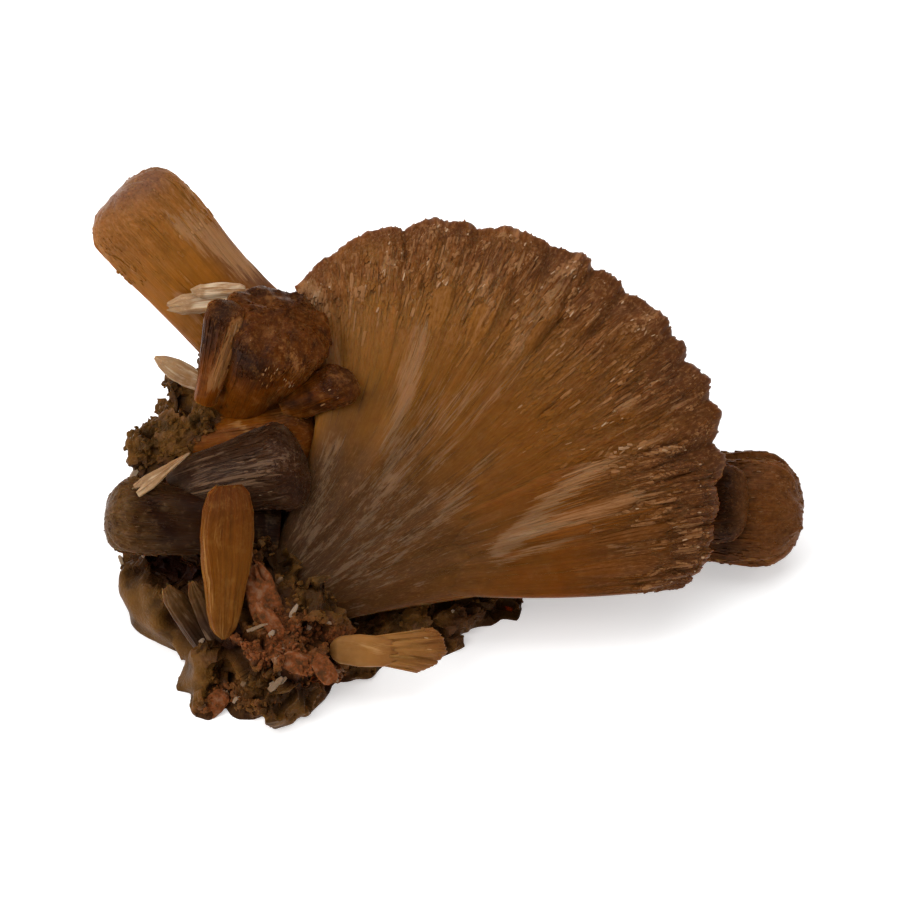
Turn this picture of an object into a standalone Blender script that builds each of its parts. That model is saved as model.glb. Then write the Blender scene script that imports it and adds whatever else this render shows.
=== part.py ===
"""A stilbite specimen about 90 mm across: flared crystal sheaves grown on a crumb of matrix.

The great fan grew in a plane that leans back from the floor, and the other crystals are laid out on
that plane too: x runs to the right, y up the slope and z out of the fan's front face. The matrix is
laid out upright on the floor. Every length below is in millimetres, and every angle in degrees.
"""

import math
import random

import bmesh
import bpy
import numpy as np
from mathutils import Euler, Vector, noise

MM = 0.001

# The stance: how far the fan's plane leans back from upright, and where its origin is
LEAN = 45
PLANE_HEIGHT = 19.1

# Moves the specimen so that its origin is under the middle of its box
CENTRING = (0.0, 2.8)

# Meshes hold 32-bit numbers, so touching crystals keep a narrow gap
GAP = 0.3

# The great fan's fibres, from its left edge (first value) to its lower edge (second value)
FAN_ROOTS = ((-23.5, -14.6), (-18.0, -22.4))
FAN_START_ANGLES = (62, 14)
FAN_END_ANGLES = (118, -6)
FAN_CURL = 1.6
FAN_LENGTHS = (36.8, 46.1, 51.3, 55.3, 58.0, 59.4, 58.9, 54.6, 46.9)
FAN_NOTCHES = (-0.18, -0.04, 0.07, 0.25, 0.33, 0.46, 0.70)
FAN_LATHS = 31

# The lobe at the fan's lower right, which stands proud of it
LOBE_ROOTS = ((-7.0, -11.5), (-5.0, -17.8))
LOBE_START_ANGLES = (32, -5)
LOBE_END_ANGLES = (17, 8)
LOBE_LENGTHS = (33.3, 38.2, 40.3, 40.3, 39.3, 37.6, 34.5)
LOBE_NOTCHES = (-0.45, 0.30)
LOBE_LATHS = 12
LOBE_LIFT = 1.6

# The small pale fan on the matrix below
PALE_ROOTS = ((-14.0, -23.8), (-13.6, -26.2))
PALE_START_ANGLES = (7, -8)
PALE_END_ANGLES = (9, -13)
PALE_LENGTHS = (12.0, 13.2, 13.4, 12.0, 9.6)
PALE_LATHS = 7
PALE_LIFT = 8.0

# Where lath ends make terraces on a fan's front face, as a share of the fibre's length, and their drops
TERRACES = ((0.70, 0.9), (0.84, 0.8))
TERRACE_SCATTER = 0.045
TERRACE_SLOPE = 0.014
NOTCH_DEPTH = 1.3
NOTCH_HALF_WIDTH = 0.022

# Colours, as linear red, green and blue
AMBER = (0.23, 0.105, 0.030)
PALE_AMBER = (0.42, 0.235, 0.085)
BROWN = (0.105, 0.048, 0.020)
GREY_BROWN = (0.110, 0.075, 0.055)
OLIVE_BROWN = (0.090, 0.060, 0.030)
CREAM = (0.62, 0.48, 0.32)
MATRIX_RED = (0.185, 0.075, 0.035)


def clear_scene():
    for thing in list(bpy.data.objects):
        bpy.data.objects.remove(thing, do_unlink=True)


def crystal_material(name, colour, roughness=0.4):
    """A plain finish for one sub-part."""
    finish = bpy.data.materials.new(name)
    finish.use_nodes = True
    shader = finish.node_tree.nodes["Principled BSDF"]
    shader.inputs["Base Color"].default_value = (*colour, 1)
    shader.inputs["Roughness"].default_value = roughness
    shader.inputs["Metallic"].default_value = 0
    finish.diffuse_color = (*colour, 1)
    return finish


def empty(name, location, parent=None):
    """A frame that pieces are parented to, placed in millimetres."""
    frame = bpy.data.objects.new(name, None)
    frame.location = [value * MM for value in location]
    frame.parent = parent
    bpy.context.scene.collection.objects.link(frame)
    return frame


def solid(name, points, faces, finish, parent=None):
    """One object from points in millimetres and faces given as point numbers."""
    mesh = bpy.data.meshes.new(name)
    mesh.from_pydata([tuple(value * MM for value in point) for point in points], [], faces)
    shape = bmesh.new()
    shape.from_mesh(mesh)
    bmesh.ops.recalc_face_normals(shape, faces=shape.faces)
    if shape.calc_volume(signed=True) < 0:
        bmesh.ops.reverse_faces(shape, faces=shape.faces)
    shape.to_mesh(mesh)
    shape.free()
    mesh.materials.append(finish)
    thing = bpy.data.objects.new(name, mesh)
    thing.parent = parent
    bpy.context.scene.collection.objects.link(thing)
    return thing


def as_guide(thing):
    """Marks a cutter or a joined-in shape, which is no piece of its own."""
    thing.hide_render = True
    thing.display_type = "WIRE"
    return thing


def add_boolean(thing, other, operation):
    modifier = thing.modifiers.new(f"{operation.lower()} {other.name}", "BOOLEAN")
    modifier.operation = operation
    modifier.object = other
    modifier.solver = "MANIFOLD"


def unit(vector):
    vector = np.asarray(vector, float)
    return vector / np.linalg.norm(vector)


def ring_faces(count, rings):
    """Side faces and two end fans for rings of equally many points; the end centres come last."""
    faces = []
    for ring in range(rings - 1):
        for i in range(count):
            j = (i + 1) % count
            low, high = ring * count, (ring + 1) * count
            faces.append((low + i, low + j, high + j, high + i))
    first_centre = rings * count
    last = (rings - 1) * count
    for i in range(count):
        j = (i + 1) % count
        faces.append((first_centre, j, i))
        faces.append((first_centre + 1, last + i, last + j))
    return faces


class Sheaf:
    """A bundle of laths along one axis: narrow at the root, flared, with a rounded rough tip.

    root and tip are the axis ends, widths and depths the half sizes at root and tip, and facing is
    the direction that the sheaf's flat side looks.
    """

    STATIONS = (0.0, 0.3, 0.58, 0.80, 0.90, 0.965, 1.0)
    DOME = (1.0, 1.0, 1.0, 0.99, 0.93, 0.76, 0.46)
    GROOVE = 0.90
    ENVELOPE_SIDES = 12

    def __init__(self, root, tip, widths, depths, facing=(0, 0, 1), laths=12, bend=(0, 0, 0), seed=1):
        self.root = np.asarray(root, float)
        self.tip = np.asarray(tip, float)
        self.widths = widths
        self.depths = depths
        self.facing = facing
        self.laths = laths
        self.bend = np.asarray(bend, float)
        self.seed = seed

    def shape(self, grow=0.0):
        """Points and faces. With grow it is a smooth envelope, larger all round by that much."""
        chance = random.Random(self.seed)
        axis = unit(self.tip - self.root)
        side = unit(np.cross(self.facing, axis))
        front = np.cross(axis, side)
        count = self.ENVELOPE_SIDES if grow else self.laths * 2
        around = 1 / math.cos(math.pi / self.ENVELOPE_SIDES)
        ends = [chance.uniform(-1.0, 0.35) for _ in range(self.laths)]
        swells = [chance.uniform(0.94, 1.0) for _ in range(self.laths)]
        points = []
        for station, dome in zip(self.STATIONS, self.DOME):
            flare = station**1.3
            half_width = self.widths[0] + (self.widths[1] - self.widths[0]) * flare
            half_depth = self.depths[0] + (self.depths[1] - self.depths[0]) * flare
            centre = self.root + (self.tip - self.root) * station
            centre = centre + self.bend * 4 * station * (1 - station)
            centre = centre + axis * grow * (2 * station - 1)
            for i in range(count):
                turn = math.tau * i / count
                if grow:
                    size, shift = around, 0.0
                else:
                    size = swells[i // 2] * (self.GROOVE if i % 2 else 1.0)
                    shift = ends[i // 2] * max(station - 0.7, 0) * 3.0
                across = side * (half_width * size * dome + grow) * math.cos(turn)
                outward = front * (half_depth * size * dome + grow) * math.sin(turn)
                points.append(centre + across + outward + axis * shift)
        points.append(self.root - axis * grow)
        points.append(self.tip + axis * (grow + 0.15))
        return points, ring_faces(count, len(self.STATIONS))


class Blade:
    """One flat crystal: an eight-sided bar along its axis with a chisel end at each tip."""

    STATIONS = (0.0, 0.10, 0.5, 0.86, 1.0)
    WIDTH_SHARES = (0.45, 0.86, 1.0, 0.92, 0.40)
    DEPTH_SHARES = (0.30, 0.80, 1.0, 0.90, 0.30)
    CORNERS = ((1, 0.35), (0.72, 1), (-0.72, 1), (-1, 0.35), (-1, -0.35), (-0.72, -1), (0.72, -1), (1, -0.35))

    def __init__(self, root, tip, half_width, half_depth, facing=(0, 0, 1), root_share=None):
        self.root = np.asarray(root, float)
        self.tip = np.asarray(tip, float)
        self.half_width = half_width
        self.half_depth = half_depth
        self.facing = facing
        self.root_share = root_share

    def shape(self, grow=0.0):
        axis = unit(self.tip - self.root)
        side = unit(np.cross(self.facing, axis))
        front = np.cross(axis, side)
        points = []
        for station, wide, deep in zip(self.STATIONS, self.WIDTH_SHARES, self.DEPTH_SHARES):
            if self.root_share and station < 0.5:
                wide = self.root_share + (wide - self.root_share) * station
            centre = self.root + (self.tip - self.root) * station + axis * grow * (2 * station - 1)
            for x, y in self.CORNERS:
                across = side * x * (self.half_width * wide + grow)
                outward = front * y * (self.half_depth * deep + grow)
                points.append(centre + across + outward)
        points.append(self.root - axis * grow)
        points.append(self.tip + axis * (grow + 0.2))
        return points, ring_faces(len(self.CORNERS), len(self.STATIONS))


class Fan:
    """Half of a bow tie: laths that spread from a short root line and end in a domed, scalloped rim.

    A fibre is named by u, from -1 at the left edge to 1 at the lower edge, and a place on it by its
    share t of the fibre's length. Roots, angles and lengths are those of the edges, or at even steps
    of u. Heights are those of the front and the back face at the root and at the shoulder.
    """

    FRONT_STATIONS = (0.0, 0.22, 0.50)
    RIM_STATIONS = (0.95, 1.0)
    BACK_STATIONS = (0.965, 0.80, 0.40, 0.0)
    LATH_EDGES = (0.10, 0.78, 0.94)
    SHOULDER = 0.70
    EDGE_HEIGHT = 0.42
    LEAST_RIM = 0.10

    def __init__(self, roots, starts, ends, lengths, front, back, laths,
                 notches=(), lift=0.0, curl=FAN_CURL, terrace_size=1.0, relief=0.55, seed=3):
        self.roots = np.asarray(roots, float)
        self.starts = starts
        self.ends = ends
        self.lengths = lengths
        self.front = front
        self.back = back
        self.laths = laths
        self.notches = notches
        self.lift = lift
        self.curl = curl
        self.terrace_size = terrace_size
        self.relief = relief
        self.seed = seed

    def length(self, u):
        """The fibre's length, cut back at each notch of the rim."""
        at = np.linspace(-1, 1, len(self.lengths))
        length = float(np.interp(u, at, self.lengths))
        for notch in self.notches:
            length -= NOTCH_DEPTH * math.exp(-(((u - notch) / NOTCH_HALF_WIDTH) ** 2))
        return length

    def place(self, u, t, extra=0.0):
        """Where on the plane the fibre u is at its share t; extra lengthens it."""
        share = (u + 1) / 2
        x, y = self.roots[0] + (self.roots[1] - self.roots[0]) * share
        start = math.radians(self.starts[0] + (self.starts[1] - self.starts[0]) * share)
        end = math.radians(self.ends[0] + (self.ends[1] - self.ends[0]) * share)
        steps = 10
        stretch = (self.length(u) + extra) * t / steps
        for step in range(steps):
            turned = start + (end - start) * (t * (step + 0.5) / steps) ** self.curl
            x += stretch * math.cos(turned)
            y += stretch * math.sin(turned)
        return x, y

    def thickness(self, heights, u, t):
        """A face's height over the mid-plane: it rises to the shoulder, then domes down to the rim."""
        root, shoulder = heights
        height = root + (shoulder - root) * min(t / self.SHOULDER, 1)
        if t > self.SHOULDER:
            past = (min(t, 1.0) - self.SHOULDER) / (1 - self.SHOULDER)
            height *= max(1 - past**2.4, 0) ** 0.62 + self.LEAST_RIM * past
        edge = self.EDGE_HEIGHT + (1 - self.EDGE_HEIGHT) * max(1 - abs(u) ** 5, 0) ** 0.5
        return height * edge

    def columns(self, chance):
        """For each column of points: its u, the number of its lath, and its place in the lath."""
        edges = [lath + chance.uniform(-0.28, 0.28) for lath in range(self.laths + 1)]
        edges[0] = 0
        edges[-1] = self.laths
        found = [(-1.0, 0, 2)]
        for lath in range(self.laths):
            for place, share in enumerate(self.LATH_EDGES):
                at = edges[lath] + (edges[lath + 1] - edges[lath]) * share
                found.append((-1 + 2 * at / self.laths, lath, place))
        found[-1] = (1.0, self.laths - 1, 2)
        return found

    def groove_depth(self, lath, place, terrace, t):
        """Grooves are shallow near the root, and shift sideways from one terrace to the next."""
        low_place = 2 if terrace == 0 else (lath * 2 + terrace) % 3
        if place != low_place:
            return 0.0
        return self.relief * (0.25 + 0.75 * min(max((t - 0.35) / 0.35, 0), 1))

    def column(self, u, lath, place, lath_values):
        """One column, up the front face from the root, over the rim and down the back."""
        prouds, ends, reach = lath_values[lath]
        drops = [size * self.terrace_size for _, size in TERRACES]
        above = sum(drops)
        front = [(t, above, 0) for t in self.FRONT_STATIONS]
        for terrace, (end, size) in enumerate(zip(ends, drops)):
            front.append((end, above, terrace))
            above -= size
            front.append((end + TERRACE_SLOPE, above, terrace + 1))
        front += [(t, above, len(drops)) for t in self.RIM_STATIONS]
        points = []
        for t, step, terrace in front:
            drop = self.groove_depth(lath, place, terrace, t)
            height = self.thickness(self.front, u, t) + self.lift
            relief = step + prouds[terrace] * min(max((t - 0.2) / 0.4, 0), 1) - drop
            height += relief * min(t / 0.3, 1) * max(1 - max(t - 0.9, 0) * 9, 0.1)
            x, y = self.place(u, t, (reach - drop) * (t > 0.9))
            points.append((x, y, height))
        for t in self.BACK_STATIONS:
            drop = self.groove_depth(lath, place, 0, t)
            depth = self.thickness(self.back, u, t) - (prouds[0] + drop) * min(t / 0.3, 1) * 0.8
            x, y = self.place(u, t, reach * (t > 0.9))
            points.append((x, y, self.lift - depth))
        return points

    def shape(self, grow=0.0):
        """Points and faces. With grow it is a smooth envelope, larger all round by that much."""
        if grow:
            return self.envelope(grow)
        chance = random.Random(self.seed)
        lath_values = []
        for _ in range(self.laths):
            prouds = [chance.uniform(0, 0.55) for _ in range(len(TERRACES) + 1)]
            ends = [at + chance.uniform(-1, 1) * TERRACE_SCATTER for at, _ in TERRACES]
            lath_values.append((prouds, ends, chance.uniform(-0.6, 0.5)))
        grid = [self.column(u, lath, place, lath_values) for u, lath, place in self.columns(chance)]
        return sheet_solid(grid)

    def envelope(self, grow):
        """A smooth closed skin outside every lath, for cutting room in a neighbour."""
        above = sum(size for _, size in TERRACES) * self.terrace_size + 0.5
        grid = []
        for step in range(21):
            u = -1 + 2 * step / 20
            sideways = np.array([0.0, 0.0])
            if abs(u) == 1:
                near = np.array(self.place(u * 0.9, 0.5))
                sideways = unit(np.array(self.place(u, 0.5)) - near) * grow
            column = []
            for t in (0.0, 0.16, 0.36, 0.56, 0.76, 0.9, 0.975, 1.0):
                height = self.thickness(self.front, u, t) + self.lift + grow
                height += above * min(t / 0.3, 1) * max(1 - max(t - 0.86, 0) * 6, 0)
                x, y = np.array(self.place(u, t, 0.6 + grow)) + sideways
                column.append((x, y, height))
            for t in self.BACK_STATIONS:
                depth = self.thickness(self.back, u, t) + grow + 0.1
                x, y = np.array(self.place(u, t, 0.6 + grow)) + sideways
                column.append((x, y, self.lift - depth))
            grid.append(column)
        return sheet_solid(grid)


def sheet_solid(grid):
    """Closes a grid of columns, each of which runs up the front and down the back, into a solid."""
    count = len(grid[0])
    points = [point for column in grid for point in column]
    faces = []
    for left in range(len(grid) - 1):
        for row in range(count):
            after = (row + 1) % count
            near, far = left * count, (left + 1) * count
            faces.append((near + row, far + row, far + after, near + after))
    last = (len(grid) - 1) * count
    half = count // 2
    for low in range(half):
        high = count - 1 - low
        if high - low < 3:
            continue
        faces.append((low, low + 1, high - 1, high))
        faces.append((last + high, last + high - 1, last + low + 1, last + low))
    if count % 2:
        faces.append((half - 1, half, half + 1))
        faces.append((last + half + 1, last + half, last + half - 1))
    return points, faces


GREAT_FAN = Fan(FAN_ROOTS, FAN_START_ANGLES, FAN_END_ANGLES, FAN_LENGTHS, front=(3.6, 5.2),
                back=(4.5, 6.5), laths=FAN_LATHS, notches=FAN_NOTCHES, seed=11)
LOBE = Fan(LOBE_ROOTS, LOBE_START_ANGLES, LOBE_END_ANGLES, LOBE_LENGTHS, front=(3.0, 4.6),
           back=(3.0, 4.0), laths=LOBE_LATHS, notches=LOBE_NOTCHES, lift=LOBE_LIFT, curl=1.2, seed=12)
PALE_FAN = Fan(PALE_ROOTS, PALE_START_ANGLES, PALE_END_ANGLES, PALE_LENGTHS, front=(0.9, 1.5),
               back=(0.9, 1.5), laths=PALE_LATHS, lift=PALE_LIFT, curl=1.2, terrace_size=0.35,
               relief=0.3, seed=13)

UPPER_LEFT_SHEAF = Sheaf((-22.9, 12.4, -4.5), (-41.5, 32.5, -0.5), (6.0, 7.2), (3.8, 5.0),
                         laths=14, seed=21)
BROWN_SHEAF = Sheaf((-27.0, 5.0, -3.0), (-21.6, 16.8, 11.5), (5.4, 8.4), (4.4, 6.6),
                    facing=(0.2, 1, -0.4), laths=12, seed=22)
BROWN_SIDE = Sheaf((-31.0, 6.5, 1.5), (-27.4, 17.8, 9.4), (2.2, 3.6), (1.8, 2.6),
                   facing=(-0.6, 0.3, 0.7), laths=7, seed=23)
SMALL_SHEAF = Sheaf((-20.0, 5.4, 3.0), (-12.6, 8.7, 8.6), (2.3, 2.9), (2.0, 2.4),
                    facing=(0.3, -0.3, 1), laths=7, seed=24)
AMBER_ROOT = Sheaf((-34.0, 0.5, -1.0), (-18.6, 2.6, 3.4), (3.2, 4.2), (3.0, 3.4), laths=8, seed=25)
GREY_SHEAF = Sheaf((-34.0, -5.2, 0.5), (-18.4, -1.8, 7.4), (3.8, 5.9), (3.4, 3.9),
                   laths=13, bend=(0, 0.4, 0), seed=26)
LEFT_SHEAF = Sheaf((-24.5, -9.6, 3.0), (-43.0, -8.0, 4.0), (3.4, 5.2), (3.2, 4.2), laths=12, seed=27)
RIGHT_SHEAF = Sheaf((4.0, -6.5, -12.0), (44.1, -7.7, -8.4), (4.6, 7.9), (3.6, 5.4), laths=14, seed=28)
RIGHT_SMALL_SHEAF = Sheaf((18.0, -6.5, -8.0), (37.4, -6.6, -4.6), (3.6, 5.2), (2.4, 3.2),
                          laths=10, seed=29)

AMBER_BLADE = Blade((-27.2, -24.0, 9.2), (-27.2, -4.3, 12.6), 3.6, 1.9, facing=(0.25, -0.1, 1),
                    root_share=0.55)
CREAM_BLADE = Blade((-24.0, 19.4, 2.7), (-35.4, 17.3, 1.3), 1.9, 0.9, facing=(0, 0.3, 1))
CREAM_SPINDLE = Blade((-31.0, 8.6, 2.0), (-36.9, 11.4, 2.6), 1.3, 0.9, facing=(0, 0, 1))
CREAM_FLAKE = Blade((-33.4, -0.9, 5.6), (-39.6, -5.0, 7.2), 0.9, 0.55, facing=(0.1, 0.2, 1))
DARK_BLADES = (
    Blade((-29.4, -26.4, 3.6), (-35.4, -17.2, 6.0), 1.4, 1.0, facing=(0.4, 0.2, 1)),
    Blade((-28.6, -25.0, 4.6), (-32.2, -16.6, 7.6), 1.2, 0.9, facing=(-0.3, 0.2, 1)),
)

# The matrix as overlapping lumps upright on the floor: centre, and half sizes along x, y and z
MATRIX_LUMPS = (
    ((-27.0, 8.0, 10.5), (9.5, 9.5, 14.0)),
    ((-32.4, 2.0, 15.4), (6.6, 7.2, 7.2)),
    ((-20.5, -17.0, 4.0), (8.0, 13.0, 8.5)),
    ((-24.5, -9.0, 5.0), (9.5, 13.0, 10.0)),
    ((-33.0, -6.5, 3.5), (8.5, 11.0, 8.0)),
    ((-28.0, -17.0, 1.5), (4.0, 6.5, 4.5)),
    ((-9.0, 6.0, 5.0), (14.0, 10.5, 10.5)),
    ((8.0, 9.0, 2.5), (12.0, 9.5, 7.5)),
    ((-6.0, -9.5, 1.0), (11.0, 7.0, 4.0)),
    ((1.0, -6.0, 0.5), (7.5, 7.0, 4.0)),
)

# The hook and the foot beside it, the foot under the pale fan and the crust at the left, without crumbs
MATRIX_SPURS = (
    ((-30.4, -25.8, 0.8), (2.2, 3.2, 2.4)),
    ((-13.0, -17.0, 1.0), (5.5, 5.2, 3.6)),
    ((-25.4, -26.4, 0.8), (2.6, 2.4, 2.6)),
    ((-37.8, 1.4, 17.2), (3.0, 4.2, 3.6)),
)
LUMP_ROUGHNESS = 0.16
CRUMBS = 130
CRUMB_SIZES = (1.2, 3.0)
CRUMB_SEED = 5
MATRIX_GRAIN = 1.1
MATRIX_TRIANGLE_SHARE = 0.078
FLOOR_BLOCK = 60
BLOCK_FACES = ((0, 1, 3, 2), (4, 6, 7, 5), (0, 4, 5, 1), (2, 3, 7, 6), (0, 2, 6, 4), (1, 5, 7, 3))


def build_main_fan(plane):
    """The great fan with its lower right lobe, grown together."""
    finish = crystal_material("fan amber", AMBER, 0.38)
    main = solid("main_fan", *GREAT_FAN.shape(), finish, plane)
    lobe = as_guide(solid("lower_right_lobe", *LOBE.shape(), finish, plane))
    add_boolean(main, lobe, "UNION")
    return main


def build_joined(name, finish, plane, shapes):
    """Several crystals grown into each other, as one solid."""
    first = solid(name, *shapes[0].shape(), finish, plane)
    for number, shape in enumerate(shapes[1:], start=2):
        joined = as_guide(solid(f"{name}_part_{number}", *shape.shape(), finish, plane))
        add_boolean(first, joined, "UNION")
    return first


def keep_clear(thing, shapes, parent):
    """Cuts room in a piece for each neighbour, with the gap that touching meshes keep."""
    for number, shape in enumerate(shapes, start=1):
        cutter = solid(f"{thing.name}_room_{number}", *shape.shape(grow=GAP), thing.data.materials[0],
                       parent)
        add_boolean(thing, as_guide(cutter), "DIFFERENCE")


def lump_points(centre, sizes, seed):
    """An icosphere stretched to the sizes and roughened by noise."""
    shape = bmesh.new()
    bmesh.ops.create_icosphere(shape, subdivisions=4, radius=1)
    for point in shape.verts:
        spot = point.co * 1.7 + Vector((seed * 3.1, seed * 1.7, seed * 0.9))
        rough = noise.fractal(spot, 0.8, 2.1, 4)
        point.co *= 1 + LUMP_ROUGHNESS * rough
        point.co = Vector([centre[i] + sizes[i] * point.co[i] for i in range(3)])
    points = [tuple(point.co) for point in shape.verts]
    faces = [tuple(point.index for point in face.verts) for face in shape.faces]
    shape.free()
    return points, faces


def crumb_points(chance):
    """A small block, turned at random, half sunk in the surface of one of the lumps."""
    centre, sizes = chance.choice(MATRIX_LUMPS)
    outward = Vector([chance.gauss(0, 1) for _ in range(3)]).normalized()
    middle = Vector([centre[i] + sizes[i] * outward[i] for i in range(3)])
    turn = Euler([chance.uniform(0, math.tau) for _ in range(3)]).to_matrix()
    half = [chance.uniform(*CRUMB_SIZES) for _ in range(3)]
    corners = [(x, y, z) for x in (-1, 1) for y in (-1, 1) for z in (-1, 1)]
    return [tuple(middle + turn @ Vector([half[i] * corner[i] for i in range(3)])) for corner in corners]


def build_matrix(stand):
    """The crumb of rock that the crystals grew on, cut off flat where it rests."""
    chance = random.Random(CRUMB_SEED)
    points, faces = [], []
    shapes = [lump_points(*lump, seed) for seed, lump in enumerate((*MATRIX_LUMPS, *MATRIX_SPURS))]
    shapes += [(crumb_points(chance), BLOCK_FACES) for _ in range(CRUMBS)]
    for corners, sides in shapes:
        faces += [tuple(number + len(points) for number in side) for side in sides]
        points += corners
    finish = crystal_material("matrix red brown", MATRIX_RED, 0.85)
    matrix = solid("matrix", points, faces, finish, stand)
    grain = matrix.modifiers.new("grain", "REMESH")
    grain.mode = "VOXEL"
    grain.voxel_size = MATRIX_GRAIN * MM
    facets = matrix.modifiers.new("facets", "DECIMATE")
    facets.ratio = MATRIX_TRIANGLE_SHARE
    half = FLOOR_BLOCK
    corners = [(x, y, z) for x in (-half, half) for y in (-half, half) for z in (-half, 0)]
    floor = as_guide(solid("flat_cut", corners, BLOCK_FACES, finish, stand))
    add_boolean(matrix, floor, "DIFFERENCE")
    return matrix


def build_stilbite():
    """Every crystal, and the matrix with room for those that are rooted in it."""
    clear_scene()
    stand = empty("stand", (*CENTRING, 0))
    plane = empty("lean_plane", (0, 0, PLANE_HEIGHT), stand)
    plane.rotation_euler = (math.radians(LEAN), 0, 0)
    amber = crystal_material("sheaf amber", AMBER, 0.35)
    pale = crystal_material("pale amber", PALE_AMBER, 0.32)
    brown = crystal_material("sheaf brown", BROWN, 0.45)
    grey = crystal_material("sheaf grey brown", GREY_BROWN, 0.42)
    olive = crystal_material("sheaf olive brown", OLIVE_BROWN, 0.42)
    cream = crystal_material("blade cream", CREAM, 0.5)
    build_main_fan(plane)
    solid("upper_left_sheaf", *UPPER_LEFT_SHEAF.shape(), amber, plane)
    brown_shapes = (BROWN_SHEAF, BROWN_SIDE, SMALL_SHEAF, AMBER_ROOT)
    brown_sheaf = build_joined("brown_sheaf", brown, plane, brown_shapes)
    keep_clear(brown_sheaf, (GREAT_FAN, UPPER_LEFT_SHEAF), plane)
    grey_sheaf = solid("grey_sheaf", *GREY_SHEAF.shape(), grey, plane)
    keep_clear(grey_sheaf, (GREAT_FAN, AMBER_ROOT), plane)
    left_sheaf = solid("left_sheaf", *LEFT_SHEAF.shape(), olive, plane)
    keep_clear(left_sheaf, (GREY_SHEAF, GREAT_FAN), plane)
    right_shapes = (RIGHT_SHEAF, RIGHT_SMALL_SHEAF)
    right_sheaf = build_joined("right_sheaf", brown, plane, right_shapes)
    keep_clear(right_sheaf, (GREAT_FAN, LOBE), plane)
    amber_blade = solid("amber_blade", *AMBER_BLADE.shape(), pale, plane)
    keep_clear(amber_blade, (LEFT_SHEAF, GREY_SHEAF, GREAT_FAN), plane)
    pale_fan = solid("pale_fan", *PALE_FAN.shape(), pale, plane)
    keep_clear(pale_fan, (GREAT_FAN,), plane)
    cream_blade = solid("cream_blade", *CREAM_BLADE.shape(), cream, plane)
    keep_clear(cream_blade, (UPPER_LEFT_SHEAF, BROWN_SHEAF, BROWN_SIDE), plane)
    cream_spindle = solid("cream_spindle", *CREAM_SPINDLE.shape(), cream, plane)
    keep_clear(cream_spindle, (UPPER_LEFT_SHEAF, BROWN_SIDE, BROWN_SHEAF), plane)
    cream_flake = solid("cream_flake", *CREAM_FLAKE.shape(), cream, plane)
    keep_clear(cream_flake, (GREY_SHEAF, LEFT_SHEAF), plane)
    dark_blades = build_joined("dark_blades", olive, plane, DARK_BLADES)
    keep_clear(dark_blades, (AMBER_BLADE, LEFT_SHEAF), plane)
    matrix = build_matrix(stand)
    rooted = (GREAT_FAN, LOBE, UPPER_LEFT_SHEAF, *brown_shapes, GREY_SHEAF, LEFT_SHEAF, *right_shapes,
              AMBER_BLADE, PALE_FAN, *DARK_BLADES)
    keep_clear(matrix, rooted, plane)


build_stilbite()
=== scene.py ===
import math
import random
from dataclasses import dataclass

import bmesh
import bpy
import numpy as np
from mathutils import Euler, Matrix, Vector, noise


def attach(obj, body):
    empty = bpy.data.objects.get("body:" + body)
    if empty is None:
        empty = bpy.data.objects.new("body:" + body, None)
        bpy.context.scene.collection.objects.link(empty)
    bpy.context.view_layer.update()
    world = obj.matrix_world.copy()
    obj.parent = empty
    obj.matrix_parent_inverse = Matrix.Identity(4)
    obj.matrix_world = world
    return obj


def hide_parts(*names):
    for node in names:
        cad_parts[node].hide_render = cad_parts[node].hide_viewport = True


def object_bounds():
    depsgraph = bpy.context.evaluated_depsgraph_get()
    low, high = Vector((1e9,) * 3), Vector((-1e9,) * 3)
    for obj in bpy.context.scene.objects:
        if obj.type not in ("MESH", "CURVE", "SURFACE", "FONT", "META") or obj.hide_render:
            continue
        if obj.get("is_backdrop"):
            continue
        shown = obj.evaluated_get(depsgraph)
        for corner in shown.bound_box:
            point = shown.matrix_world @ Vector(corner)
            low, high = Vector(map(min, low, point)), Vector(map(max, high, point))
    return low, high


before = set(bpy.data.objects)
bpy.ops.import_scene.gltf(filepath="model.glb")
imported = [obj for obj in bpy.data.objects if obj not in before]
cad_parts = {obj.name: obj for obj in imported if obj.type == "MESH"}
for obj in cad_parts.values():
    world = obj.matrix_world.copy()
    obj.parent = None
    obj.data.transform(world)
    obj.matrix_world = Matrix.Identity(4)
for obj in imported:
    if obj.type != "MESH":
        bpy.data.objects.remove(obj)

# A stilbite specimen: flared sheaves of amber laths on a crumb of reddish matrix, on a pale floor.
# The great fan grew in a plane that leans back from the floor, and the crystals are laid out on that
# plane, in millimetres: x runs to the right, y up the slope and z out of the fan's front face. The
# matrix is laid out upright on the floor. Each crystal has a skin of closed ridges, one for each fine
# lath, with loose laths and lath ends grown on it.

MM = 0.001

# The stance, as in the solids: how far the plane leans back, and where its origin is
LEAN = math.radians(45)
PLANE_HEIGHT = 19.1
CENTRING = (0.0, 2.8)
LEANING = np.array(((1, 0, 0), (0, math.cos(LEAN), math.sin(LEAN)), (0, -math.sin(LEAN), math.cos(LEAN))))

# The picture: a long view down the slope, this wide at the specimen
VIEW_ELEVATION = 45
VIEW_WIDTH = 112.5
VIEW_DISTANCE = 600

# Lights: name, azimuth and elevation in degrees, distance, size and watts
SOFT_LIGHTS = (
    ("overhead_soft_light", 180, 78, 0.9, 1.0, 6.0),
    ("left_soft_light", -60, 40, 0.9, 0.7, 6.0),
    ("right_soft_light", 75, 30, 1.0, 0.7, 1.5),
)
WORLD_LIGHT = 0.30
FLOOR_GLOW = 0.42
FLOOR_REACH = 3.0

# Fine laths are this wide where they end
LATH_WIDTH = 0.30


def unit(vectors):
    """Vectors scaled to length one along their last axis."""
    return vectors / np.maximum(np.linalg.norm(vectors, axis=-1, keepdims=True), 1e-9)


def between(ends, share):
    """The value a share of the way from the first end to the second."""
    return ends[0] + (ends[1] - ends[0]) * share


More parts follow.
